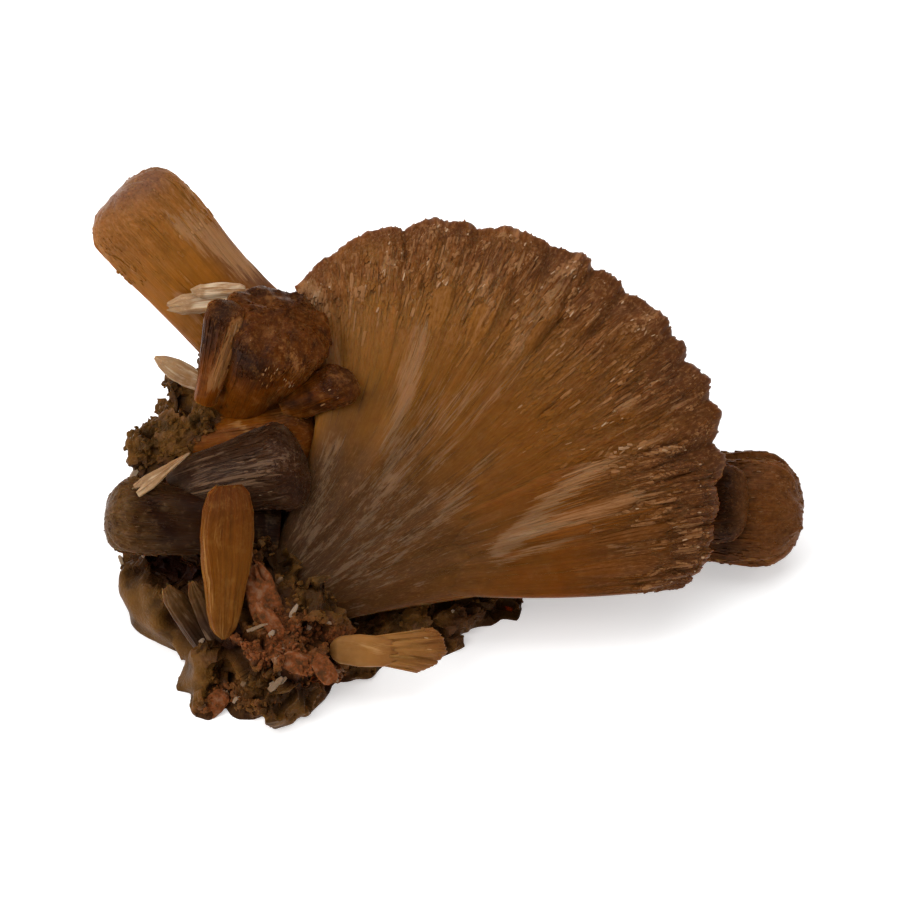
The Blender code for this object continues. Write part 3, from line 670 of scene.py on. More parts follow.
class Sheaf(Bar):
    """A bundle of laths: narrow at the root, flared, with a rounded rough tip. widths and depths are
    its half sizes at root and tip."""

    SHOULDER = 0.78
    DOME_POWERS = (3.2, 0.42)

    def __init__(self, root, tip, widths, depths, seed, facing=(0, 0, 1), bend=(0, 0, 0),
                 end_roughness=0.5):
        super().__init__(root, tip, facing, seed)
        self.widths = widths
        self.depths = depths
        self.bend = np.array(bend)
        self.end_roughness = end_roughness
        self.around = math.pi * (widths[1] + depths[1])

    def dome(self, station):
        past = np.clip((station - self.SHOULDER) / (1 - self.SHOULDER), 0, 1)
        return np.maximum(1 - past ** self.DOME_POWERS[0], 0) ** self.DOME_POWERS[1]

    def station_of(self, radius_share):
        """The station in the dome where its radius is this share of the full one."""
        past = (1 - radius_share ** (1 / self.DOME_POWERS[1])) ** (1 / self.DOME_POWERS[0])
        return self.SHOULDER + (1 - self.SHOULDER) * past

    def surface(self, turn, station, offset=0.0):
        turn, station = np.broadcast_arrays(turn, station)
        fine = waves(turn * 5.1 + 20, station * 7.0, self.seed + 61) * smooth_step(0.45, 0.85, station)
        lumps = 1 + 0.13 * waves(turn * 1.9 + 20, station * 2.6, self.seed + 60) + 0.10 * fine
        flare = np.maximum(station, 0) ** 1.3
        wide, deep = (between(sizes, flare) * self.dome(station) * lumps + offset
                      for sizes in (self.widths, self.depths))
        across, up = wide * np.cos(turn) + 40, deep * np.sin(turn) + 40
        uneven = waves(across * 0.5, up * 0.5, self.seed + 62)
        uneven = uneven + 0.4 * waves(across * 1.4, up * 1.4, self.seed + 63)
        uneven = uneven * self.end_roughness * smooth_step(0.84, 0.98, station)
        bent = self.bend * (4 * station * (1 - station))[..., None]
        return self.on_axis(station) + self.off_axis(turn, wide, deep) + self.axis * uneven[..., None] + bent

    def outward(self, turn, station):
        """Out of the side, at each place."""
        step = 0.01
        here = self.surface(turn, station)
        along = here - self.surface(turn, station - step)
        outward = unit(np.cross(self.surface(turn + step, station) - here, along))
        inner = np.minimum(station, 0.7)
        radial = self.surface(turn, inner) - self.on_axis(inner)
        inwards = np.sum(outward * radial, axis=-1, keepdims=True) < 0
        return outward * np.where(inwards, -1.0, 1.0)


def add_sheaf_skin(parts, sheaf, pale):
    """The sheaf's closed outside, with a ridge for each fine lath and steps where laths end."""
    laths = int(sheaf.around / (LATH_WIDTH * 1.1))
    chance = np.random.default_rng(sheaf.seed + 200)
    prouds = 0.5 * chance.uniform(-0.5, 0.5, (laths, 1))
    edges = np.arange(laths + 1) + chance.uniform(-0.2, 0.2, laths + 1)
    edges[-1] = edges[0] + laths
    steps = lath_steps(laths, SHEAF_STEPS, SHEAF_STEP_RANGE, sheaf.seed, 0.006)
    turn, station, rise, low = ridged_rows(edges, prouds, (SHEAF_BODY_STATIONS, 0), steps,
                                           (SHEAF_END_STATIONS, 0))
    turn = math.tau * turn / laths
    dome = sheaf.dome(station)
    relief = SHEAF_RELIEF * (0.3 + 0.7 * smooth_step(0.3, 0.8, station)) * dome**2
    points = sheaf.surface(turn, station, (rise - low) * relief)
    own = 0.5 + (np.repeat(chance.random(laths), len(RIDGE_PROFILE))[:, None] - 0.5) * dome**2
    fibre = (sheaf.widths[1] * np.cos(turn) * dome + 13 * sheaf.seed, station * sheaf.length,
             sheaf.depths[1] * np.sin(turn) * dome)
    parts.add(points, tube_faces(numbered(*station.shape).T), fibre, (pale, station, own))


def add_sheaf_laths(parts, sheaf, count, pale):
    """Long laths on the sheaf's sides."""
    chance = np.random.default_rng(sheaf.seed + 300)
    turn = chance.uniform(0, math.tau, (count, 1))
    start = chance.uniform(0.08, 0.78, (count, 1))
    end = start + chance.uniform(3.0, 9.0, (count, 1)) / sheaf.length
    end = np.minimum(end, chance.uniform(0.8, 0.93, (count, 1)))
    shares = np.linspace(0, 1, 5)
    station = between((start, end), shares)
    rise = -0.06 + shares * chance.uniform(0.08, 0.24, (count, 1))
    turn = turn + chance.normal(0, 0.02, (count, 1)) * shares
    half_widths = chance.uniform(0.12, 0.30, (count, 1)) * (0.4, 0.9, 1.0, 0.9, 0.15)
    pale = pale + 0.4 * chance.random(count) ** 2
    add_laths(parts, sheaf.surface(turn, station, rise), sheaf.outward(turn, station), half_widths,
              half_widths * 0.5, pale, start, chance.random(count))


def add_sheaf_tips(parts, sheaf, count, pale, glint_share, glint_streaks):
    """Lath ends over the sheaf's rounded tip and along its sides near it, some of them with a painted glint.
    """
    chance = np.random.default_rng(sheaf.seed + 400)
    turn = chance.uniform(0, math.tau, count)
    on_end = chance.random(count) < 0.55
    share = np.sqrt(chance.random(count)) * 0.98
    station = np.where(on_end, sheaf.station_of(share), 0.62 + 0.28 * chance.random(count))
    outward = sheaf.outward(turn, np.minimum(station, 0.99))
    radial = unit(sheaf.surface(turn, 0.7) - sheaf.surface(turn + math.pi, 0.7))
    spread = np.where(on_end, share * 0.35, chance.uniform(0.0, 0.12, count))
    along = unit(sheaf.axis + radial * spread[:, None] + chance.normal(0, 0.07, (count, 3)))
    lengths = chance.uniform(0.4, 1.1, count)
    half_widths = LATH_WIDTH * chance.uniform(0.4, 0.85, count)
    heights = half_widths * chance.uniform(0.5, 0.9, count)
    ends = sheaf.surface(turn, np.minimum(station, 0.999), chance.uniform(-0.1, 0.02, count))
    ends = ends + along * chance.uniform(0.0, 0.10, (count, 1))
    bases = ends - along * lengths[:, None]
    # Some ends get a painted glint: a pale value high enough to take the glint colour
    bright = chance.random(count) < np.maximum(streak_strength(ends, glint_streaks), glint_share)
    pale = pale + 0.15 * chance.random(count) ** 2 + bright * chance.uniform(0.6, 2.0, count)
    add_tips(parts, bases, along, outward, lengths * np.where(bright, 0.7, 1.0),
             half_widths * np.where(bright, 0.32, 1.0), heights, pale, station, chance.random(count))


# A blade's half width along it, as stations and shares of the full one
PLAIN = ((0.0, 0.45), (0.10, 0.86), (0.5, 1.0), (0.86, 0.92), (1.0, 0.40))
TAPERED_FOOT = ((0.0, 0.08), (0.03, 0.30), (0.08, 0.48), (0.17, 0.62), (0.38, 0.77), (0.44, 0.86),
                (0.66, 1.0), (0.83, 0.94), (0.95, 0.78), (1.0, 0.50))
SPINDLE = ((0.0, 0.7), (0.3, 1.0), (0.6, 0.95), (0.85, 0.6), (1.0, 0.16))
WEDGE = ((0.0, 0.10), (0.4, 0.45), (0.8, 0.95), (1.0, 0.85))
ROUNDED_ROOT = ((0.0, 0.30), (0.05, 0.62), (0.14, 0.86), (0.40, 1.0), (0.75, 0.95), (1.0, 0.55))
BLADE_DEPTHS = ((0.0, 0.30), (0.10, 0.80), (0.5, 1.0), (0.86, 0.90), (1.0, 0.30))
SQUARENESS = 4.5


class Blade(Bar):
    """One flat crystal with a chisel end at each tip, grooved along its length."""

    def __init__(self, root, tip, half_width, half_depth, seed, facing=(0, 0, 1), profile=PLAIN,
                 ragged=0.04):
        super().__init__(root, tip, facing, seed)
        self.half_width = half_width
        self.half_depth = half_depth
        self.profile = profile
        self.ragged = ragged

    def body(self, relief, laths, rows):
        """The closed outside, with fine grooves and a rough end: its points and faces, and each
        point's turn, its station and the number of its column."""
        columns = laths * 3
        column, station = np.arange(columns)[:, None], np.linspace(0.0, 1.0, rows)[None]
        turn = math.tau * column / columns
        powers = np.abs(np.cos(turn)) ** SQUARENESS + np.abs(np.sin(turn)) ** SQUARENESS
        square = powers ** (-1 / SQUARENESS)
        wide = self.half_width * np.interp(station, *zip(*self.profile)) * square
        deep = self.half_depth * np.interp(station, *zip(*BLADE_DEPTHS)) * square
        aside = self.off_axis(turn, wide, deep)
        grooves = 2 * waves(column * 0.55 + 3, station * 2.5, self.seed)
        bumps = waves(column * 0.2 + 9, station * self.length * 0.8, self.seed + 1)
        rough = (grooves + bumps) * relief * np.sin(station * math.pi) ** 0.3
        ragged = np.random.default_rng(self.seed + 500).uniform(-1.2, 0.8, laths) * self.ragged
        ragged = np.repeat(ragged, 3)[:, None] * smooth_step(0.8, 1.0, station)
        points = self.on_axis(station + ragged) + aside + unit(aside) * rough[..., None]
        return points, tube_faces(numbered(columns, rows).T), turn, station, column


def add_blade(parts, blade, pale, relief=0.11, laths=44, rows=60):
    points, faces, turn, station, column = blade.body(relief, laths, rows)
    around = math.pi * (blade.half_width + blade.half_depth)
    own = np.repeat(np.random.default_rng(blade.seed + 600).random(laths), 3)[:, None]
    pale = np.clip(pale + 0.5 * waves(column * 0.3, station * 1.5, blade.seed + 2), 0, 1)
    parts.add(points, faces, (turn / math.tau * around, station * blade.length, blade.seed),
              (pale * (1 - smooth_step(0.70, 0.92, station)), station, own))


AMBER_BLADE = Blade((-28.4, -23.6, 9.2), (-27.6, -4.5, 12.6), 3.3, 1.7, facing=(0.25, -0.1, 1),
                    profile=TAPERED_FOOT, ragged=0.012, seed=31)
CREAM_BLADES = (
    Blade((-24.0, 19.2, 2.7), (-35.0, 18.0, 1.3), 1.25, 0.9, facing=(0, 0.3, 1), ragged=0.06, seed=32),
    Blade((-25.6, 20.1, 3.2), (-32.2, 19.8, 2.6), 0.85, 0.7, facing=(0, 0.3, 1), ragged=0.06, seed=37),
)
CREAM_SPINDLE = Blade((-31.0, 8.2, 2.0), (-36.9, 11.6, 2.6), 1.35, 0.9, profile=SPINDLE, ragged=0.0,
                      seed=33)
CREAM_FLAKE = Blade((-32.6, -0.4, 5.6), (-39.0, -5.0, 7.2), 1.0, 0.45, facing=(0.1, 0.2, 1),
                    profile=WEDGE, ragged=0.08, seed=34)
DARK_BLADES = (
    Blade((-29.4, -26.4, 3.6), (-35.4, -17.2, 6.0), 1.4, 1.0, facing=(0.4, 0.2, 1), seed=35),
    Blade((-28.6, -25.0, 4.6), (-32.2, -16.6, 7.6), 1.2, 0.9, facing=(-0.3, 0.2, 1), seed=36),
)
# The smooth mass that the pale fan spreads from
PALE_ROOT = Blade((-15.0, -24.9, 8.3), (-6.0, -25.3, 8.7), 2.0, 1.5, profile=ROUNDED_ROOT, ragged=0.10,
                  seed=39)


# The matrix, as in the solids: overlapping lumps upright on the floor, centre and half sizes
MATRIX_LUMPS = (
    ((-27.0, 8.0, 10.5), (9.5, 9.5, 14.0)),
    ((-32.4, 2.0, 15.4), (6.6, 7.2, 7.2)),
    ((-20.5, -17.0, 4.0), (8.0, 13.0, 8.5)),
    ((-24.5, -9.0, 5.0), (9.5, 13.0, 10.0)),
    ((-33.0, -6.5, 3.5), (8.5, 11.0, 8.0)),
    ((-28.0, -17.0, 1.5), (4.0, 6.5, 4.5)),
    ((-9.0, 6.0, 5.0), (14.0, 10.5, 10.5)),
    ((8.0, 9.0, 2.5), (12.0, 9.5, 7.5)),
    ((-6.0, -9.5, 1.0), (11.0, 7.0, 4.0)),
    ((1.0, -6.0, 0.5), (7.5, 7.0, 4.0)),
)
MATRIX_SPURS = (
    ((-30.4, -25.8, 0.8), (2.2, 3.2, 2.4)),
    ((-13.0, -17.0, 1.0), (5.5, 5.2, 3.6)),
    ((-25.4, -26.4, 0.8), (2.6, 2.4, 2.6)),
    ((-37.8, 1.4, 17.2), (3.0, 4.2, 3.6)),
)
LUMP_ROUGHNESS = 0.16
CRUMBS = 130
CRUMB_SIZES = (1.2, 3.0)
CRUMB_SEED = 5
MATRIX_GRAIN = 0.46
FLOOR_BLOCK = 60
BLOCK_FACES = ((0, 1, 3, 2), (4, 6, 7, 5), (0, 4, 5, 1), (2, 3, 7, 6), (0, 2, 6, 4), (1, 5, 7, 3))

# Zones of the matrix on the plane, as streaks
ORANGE_CRUMBS = (
    ((-27.2, -23.8), (-23.8, -25.6), 1.9, 1.0),
    ((-21.6, -24.4), (-17.4, -27.6), 2.2, 1.0),
    ((-15.6, -26.0), (-13.6, -30.0), 1.5, 0.7),
    ((-25.0, -15.4), (-22.0, -21.4), 2.0, 1.0),
    ((-30.4, -33.0), (-28.0, -30.0), 1.7, 0.6),
    ((-26.0, -31.0), (-22.0, -34.0), 1.5, 0.3),
    ((-20.0, -22.2), (-11.5, -24.2), 1.7, 0.8),
)
LUMPY_CRUST = (
    ((-40.0, 3.5), (-34.0, 1.0), 4.5, 1.0),
    ((-29.0, -28.0), (-27.0, -30.0), 2.2, 0.8),
    ((-42.0, -11.0), (-40.5, -16.0), 1.4, 1.0),
)
# Hollows, sunk into the rock and darkened with painted shade
SHADED_HOLLOWS = (
    ((-38.0, -12.0), (-31.5, -15.0), 3.2, 1.0),
    ((-31.0, -20.5), (-28.4, -24.8), 1.5, 0.9),
    ((-24.0, -10.5), (-22.5, -13.0), 1.6, 0.4),
    ((-19.8, -29.2), (-17.8, -30.4), 1.4, 1.0),
    ((-23.4, -24.0), (-22.8, -29.6), 0.7, 0.8),
    ((-16.4, -28.4), (-15.4, -29.4), 0.9, 0.7),
    ((-35.0, -21.0), (-33.0, -24.0), 1.0, 0.6),
    ((-27.0, -22.6), (-24.6, -23.4), 0.6, 0.8),
    ((-28.4, -26.6), (-27.8, -28.4), 0.8, 0.6),
)
AMBER_LEDGES = (
    ((-40.6, -18.0), (-33.0, -28.8), 1.9, 1.0),
    ((-24.0, -34.2), (-20.0, -34.6), 1.2, 0.7),
)
HOLLOW_DEPTH = 2.6

# Pale chips and laths in the matrix on the plane: from, to, half width and whiteness
CHIPS = (
    ((-20.6, -20.6), (-19.7, -19.0), 0.36, 0.9),
    ((-23.1, -23.3), (-22.6, -22.7), 0.42, 0.8),
    ((-23.0, -30.6), (-21.4, -29.0), 0.45, 0.5),
    ((-21.8, -29.3), (-19.6, -28.3), 0.42, 0.6),
    ((-40.8, -4.0), (-39.8, -2.9), 0.50, 1.0),
    ((-41.6, -12.6), (-41.0, -14.0), 0.30, 0.9),
    ((-39.4, -12.6), (-38.8, -13.6), 0.22, 0.8),
    ((-32.2, -20.6), (-31.7, -20.1), 0.30, 1.0),
    ((-31.5, -23.4), (-30.9, -22.9), 0.36, 0.9),
    ((-25.4, -22.8), (-22.8, -21.9), 0.26, 0.5),
    ((-27.4, -31.0), (-26.7, -30.2), 0.28, 0.8),
)
# Slabs of pinkish orange rock on the plane: from, to, half width and half depth
SLABS = (
    ((-22.6, -23.0), (-25.0, -15.2), 2.0, 0.9),
    ((-20.2, -23.4), (-23.0, -19.4), 1.0, 0.7),
    ((-27.4, -30.6), (-30.2, -33.4), 1.3, 0.9),
    ((-21.0, -25.4), (-17.4, -26.6), 1.3, 0.9),
    ((-14.2, -29.6), (-16.2, -26.4), 1.2, 0.8),
)
GRAINS = 1700


def lump_points(centre, sizes, seed):
    """An icosphere stretched to the sizes and roughened by noise."""
    shape = bmesh.new()
    bmesh.ops.create_icosphere(shape, subdivisions=4, radius=1)
    for point in shape.verts:
        spot = point.co * 1.7 + Vector((seed * 3.1, seed * 1.7, seed * 0.9))
        point.co *= 1 + LUMP_ROUGHNESS * noise.fractal(spot, 0.8, 2.1, 4)
        point.co = Vector([centre[i] + sizes[i] * point.co[i] for i in range(3)])
    points = [tuple(point.co) for point in shape.verts]
    faces = [tuple(point.index for point in face.verts) for face in shape.faces]
    shape.free()
    return points, faces


def crumb_points(chance):
    """A small block, turned at random, half sunk in the surface of one of the lumps."""
    centre, sizes = chance.choice(MATRIX_LUMPS)
    outward = Vector([chance.gauss(0, 1) for _ in range(3)]).normalized()
    middle = Vector([centre[i] + sizes[i] * outward[i] for i in range(3)])
    turn = Euler([chance.uniform(0, math.tau) for _ in range(3)]).to_matrix()
    half = [chance.uniform(*CRUMB_SIZES) for _ in range(3)]
    corners = [(x, y, z) for x in (-1, 1) for y in (-1, 1) for z in (-1, 1)]
    return [tuple(middle + turn @ Vector([half[i] * corner[i] for i in range(3)])) for corner in corners]


def matrix_surface():
    """The matrix's fine outside, in millimetres: fused lumps and crumbs, cut off flat at the floor."""
    chance = random.Random(CRUMB_SEED)
    points, faces = [], []
    shapes = [lump_points(*lump, seed) for seed, lump in enumerate((*MATRIX_LUMPS, *MATRIX_SPURS))]
    shapes += [(crumb_points(chance), BLOCK_FACES) for _ in range(CRUMBS)]
    for corners, sides in shapes:
        faces += [tuple(number + len(points) for number in side) for side in sides]
        points += corners
    lumps = new_object("matrix_lumps", points, faces)
    grain = lumps.modifiers.new("grain", "REMESH")
    grain.mode = "VOXEL"
    grain.voxel_size = MATRIX_GRAIN
    reach = (-FLOOR_BLOCK, FLOOR_BLOCK)
    corners = [(x, y, z) for x in reach for y in reach for z in (-FLOOR_BLOCK, 0)]
    cutter = new_object("flat_cut", corners, BLOCK_FACES)
    cut = lumps.modifiers.new("flat cut", "BOOLEAN")
    cut.operation = "DIFFERENCE"
    cut.object = cutter
    cut.solver = "MANIFOLD"
    graph = bpy.context.evaluated_depsgraph_get()
    fine = bpy.data.meshes.new_from_object(lumps.evaluated_get(graph))
    points, normals = np.empty((2, len(fine.vertices) * 3))
    fine.vertices.foreach_get("co", points)
    fine.vertices.foreach_get("normal", normals)
    faces = [list(face.vertices) for face in fine.polygons]
    for thing in (lumps, cutter):
        bpy.data.objects.remove(thing, do_unlink=True)
    return points.reshape(-1, 3), normals.reshape(-1, 3), faces


def worn(points, faces, wear, passes=10):
    """Points moved towards the mean of their neighbours again and again, by their wear from 0 to 1."""
    pairs = np.array([(face[i - 1], face[i]) for face in faces for i in range(len(face))])
    first, second = np.concatenate((pairs, pairs[:, ::-1])).T
    count = np.bincount(first, minlength=len(points))[:, None]
    for _ in range(passes):
        mean = np.stack([np.bincount(first, values[second], len(points)) for values in points.T], -1) / count
        points = points + (mean - points) * wear[:, None]
    return points


def crumble(points, normals):
    """Moves the matrix's points in and out into crumbs, lumps and hollows, but not its flat foot.

    Returns the points, and for each one how crumbly it is (1 for orange crumbs, 0 for plain rock and
    -1 for a smooth amber ledge), its depth and how much painted shade darkens it in a hollow.
    """
    zones = (ORANGE_CRUMBS, AMBER_LEDGES, LUMPY_CRUST, SHADED_HOLLOWS)
    orange, ledge, lumpy, dark = (streak_strength(on_plane(points), zone) for zone in zones)
    # The hollows' painted shade goes only on faces that look up or to the front
    dark = dark * (normals[:, 2] - normals[:, 1] > -0.2)
    depths = np.empty(len(points))
    for i, point in enumerate(points):
        spot = Vector(point)
        cells = noise.voronoi(spot * 0.62)[0]
        crumbs = min(cells[1] - cells[0], 0.5) - 0.25
        grains = noise.fractal(spot * 1.9, 0.9, 2.2, 3)
        block, facet = (noise.cell(noise.voronoi(spot * size)[1][0] * 9) - 0.5 for size in (0.34, 0.80))
        rough = 0.15 + 0.85 * max(orange[i], 0.6 * lumpy[i])
        blocks = (1 - 0.8 * ledge[i]) * (0.9 * block + 0.4 * facet)
        depths[i] = rough * (0.75 * crumbs + 0.34 * grains) + blocks + 0.25 * noise.noise(spot * 0.45)
    held = smooth_step(0.0, 1.2, points[:, 2])
    moved = points + normals * ((depths - HOLLOW_DEPTH * dark) * held)[:, None]
    moved[:, 2] = np.where(points[:, 2] < 0.01, points[:, 2], np.maximum(moved[:, 2], 0.02))
    return moved, np.stack((orange - ledge, depths, dark), axis=-1)


def front_shift(there, start, end):
    """How far a thing laid from start to end on the plane moves to sit on the front of the matrix,
    whose points are given on the plane."""
    middle = between((np.array(start), end), 0.5)
    away = np.hypot(*(there[:, :2] - middle).T)
    near = there[away < max(0.8, away.min() + 0.2)]
    return near[np.argmax(near[:, 2])] - (*middle, 0)


def add_slabs(parts, there):
    """Rough slabs on the front of the matrix."""
    for number, (start, end, half_width, half_depth) in enumerate(SLABS):
        shift = front_shift(there, start, end)
        slab = Blade((*start, -0.2) + shift, (*end, -0.2) + shift, half_width, half_depth, ragged=0.22,
                     seed=71 + number)
        points, faces, _, _, _ = slab.body(0.14, 16, 46)
        points = lean(points)
        points[..., 2] = np.maximum(points[..., 2], 0.1)
        x, y, z = np.moveaxis(points, -1, 0)
        depth = 0.5 * (waves(x * 1.6 + 60, z * 1.6 + 60, 72) - 0.1)
        parts.add(points, faces, (x, y, z), (1.0, depth, 0.0))


def add_chips(parts, there):
    """Chips on the front of the matrix."""
    chance = np.random.default_rng(91)
    for start, end, half_width, white in CHIPS:
        ends = np.array(((*start, -0.2), (*end, 0.2))) + front_shift(there, start, end)
        paths = between(ends, np.array((0.0, 0.25, 0.7, 1.0))[:, None])
        paths = lean(paths + chance.normal(0, 0.06, paths.shape))[None]
        normals = np.broadcast_to(LEANING[2], paths.shape)
        widths = half_width * np.array(((0.7, 1.0, 0.85, 0.4),))
        add_laths(parts, paths, normals, widths, widths * 0.7, 0.0, 0.2, 0.0, white * 0.7)


def add_grains(parts, points, normals, tone):
    """Loose grains on the crumbly places of the matrix."""
    chance = np.random.default_rng(77)
    likely = 0.03 + tone[:, 0] + 0.12 * streak_strength(on_plane(points), LUMPY_CRUST) - tone[:, 2]
    loose = np.flatnonzero((points[:, 2] > 1.0) & (chance.random(len(points)) < likely))
    picked = chance.choice(loose, min(GRAINS, len(loose)), replace=False)
    count = len(picked)
    along = unit(normals[picked] + chance.normal(0, 0.75, (count, 3)))
    facing = unit(chance.normal(0, 1, (count, 3)))
    lengths = chance.uniform(0.4, 1.1, count)
    half_widths = chance.uniform(0.12, 0.40, count)
    heights = half_widths * chance.uniform(0.5, 1.0, count)
    bases = points[picked] - along * (lengths * 0.6)[:, None]
    bases[:, 2] = np.maximum(bases[:, 2], 0.7)
    white = 0.8 * chance.random(count) ** 30
    zone = 0.1 + 0.2 * chance.random(count)
    add_tips(parts, bases, along, facing, lengths, half_widths, heights, tone[picked, 0], zone,
             np.zeros(count), white)


def build_matrix():
    """The crumb of rock that the crystals grew on, with loose grains, chips and slabs on it."""
    finish = matrix_finish()
    points, normals, faces = matrix_surface()
    points, tone = crumble(points, normals)
    wear = 0.9 * np.clip(-tone[:, 0], 0, 1) * smooth_step(0.3, 1.5, points[:, 2])
    points = worn(points, faces, wear)
    crust, loose = Parts(), Parts()
    crust.add(points, faces, points.T, tone.T)
    add_grains(loose, points, normals, tone)
    add_chips(loose, on_plane(points))
    add_slabs(loose, on_plane(points))
    make_piece("matrix_rock_crust", crust, finish, "matrix", leaning=False)
    make_piece("matrix_grains", loose, finish, "matrix", leaning=False)


# Finishes

# Light scattered inside goes furthest where it is red
GLOW_REACH = (1.0, 0.42, 0.14)
SHINE = 0.04


class Finish:
    """A material, with its nodes made by what they do; a value is a number, a colour or a socket."""

    def __init__(self, name):
        self.material = bpy.data.materials.new(name)
        self.material.use_nodes = True
        self.nodes = self.material.node_tree.nodes

    def feed(self, node, values):
        for key, value in values.items():
            socket = node.inputs[key]
            if isinstance(value, bpy.types.NodeSocket):
                self.material.node_tree.links.new(value, socket)
            elif isinstance(value, tuple):
                socket.default_value = (*value, 1)[:len(socket.default_value)]
            else:
                socket.default_value = value

    def node(self, kind, values, output=0, **settings):
        node = self.nodes.new("ShaderNode" + kind)
        for key, value in settings.items():
            setattr(node, key, value)
        self.feed(node, values)
        return node.outputs[output]

    def shader(self, values):
        self.feed(self.nodes["Principled BSDF"], values)

    def attribute(self, name, output="Vector"):
        return self.node("Attribute", {}, output, attribute_name=name)

    def split(self, name):
        node = self.nodes.new("ShaderNodeSeparateXYZ")
        self.feed(node, {0: self.attribute(name)})
        return node.outputs

    def stretched(self, vector, scales):
        return self.node("Mapping", {"Vector": vector, "Scale": scales})

    def noise(self, vector, scale, detail=2.0, roughness=0.5):
        """Noise from 0 to 1; scale is one number, or one for each axis."""
        if isinstance(scale, tuple):
            vector, scale = self.stretched(vector, scale), 1.0
        values = {"Vector": vector, "Scale": scale, "Detail": detail, "Roughness": roughness}
        return self.node("TexNoise", values, "Fac")

    def plus(self, first, second):
        return self.node("Math", {0: first, 1: second}, operation="ADD")

    def minus(self, first, second):
        return self.node("Math", {0: first, 1: second}, operation="SUBTRACT")

    def times(self, first, second, clamp=False):
        return self.node("Math", {0: first, 1: second}, operation="MULTIPLY", use_clamp=clamp)

    def ranged(self, value, low, high, to_low=0.0, to_high=1.0):
        values = {"Value": value, "From Min": low, "From Max": high, "To Min": to_low, "To Max": to_high}
        return self.node("MapRange", values)

    def layered(self, colour, *layers):
        """A colour with others laid over it, each by how much it covers."""
        for cover, over in layers:
            colour = self.node("Mix", {"Factor": cover, 6: colour, 7: over}, 2, data_type="RGBA")
        return colour

    def ramp(self, factor, stops):
        node = self.nodes.new("ShaderNodeValToRGB")
        steps = node.color_ramp.elements
        while len(steps) < len(stops):
            steps.new(0.5)
        for step, (place, colour) in zip(steps, stops):
            step.position = place
            step.color = (*colour, 1)
        self.feed(node, {"Fac": factor})
        return node.outputs["Color"]

    def relief(self, height, strength, distance):
        values = {"Height": height, "Strength": strength, "Distance": distance * MM}
        return self.node("Bump", values, "Normal")


# Painted glint: a warm near-white laid on lath ends where highlights would be; and how the pale
# laths dim near a fan's root and towards its lower edge
PAINTED_GLINT = (0.46, 0.30, 0.18)
ROOT_PALE_LEVELS = (0.48, 0.63, 0.88)
DIM_PALE_LEVELS = (0.80, 0.68, 0.52)


def levelled(colour, levels):
    return tuple(part * level for part, level in zip(colour, levels))


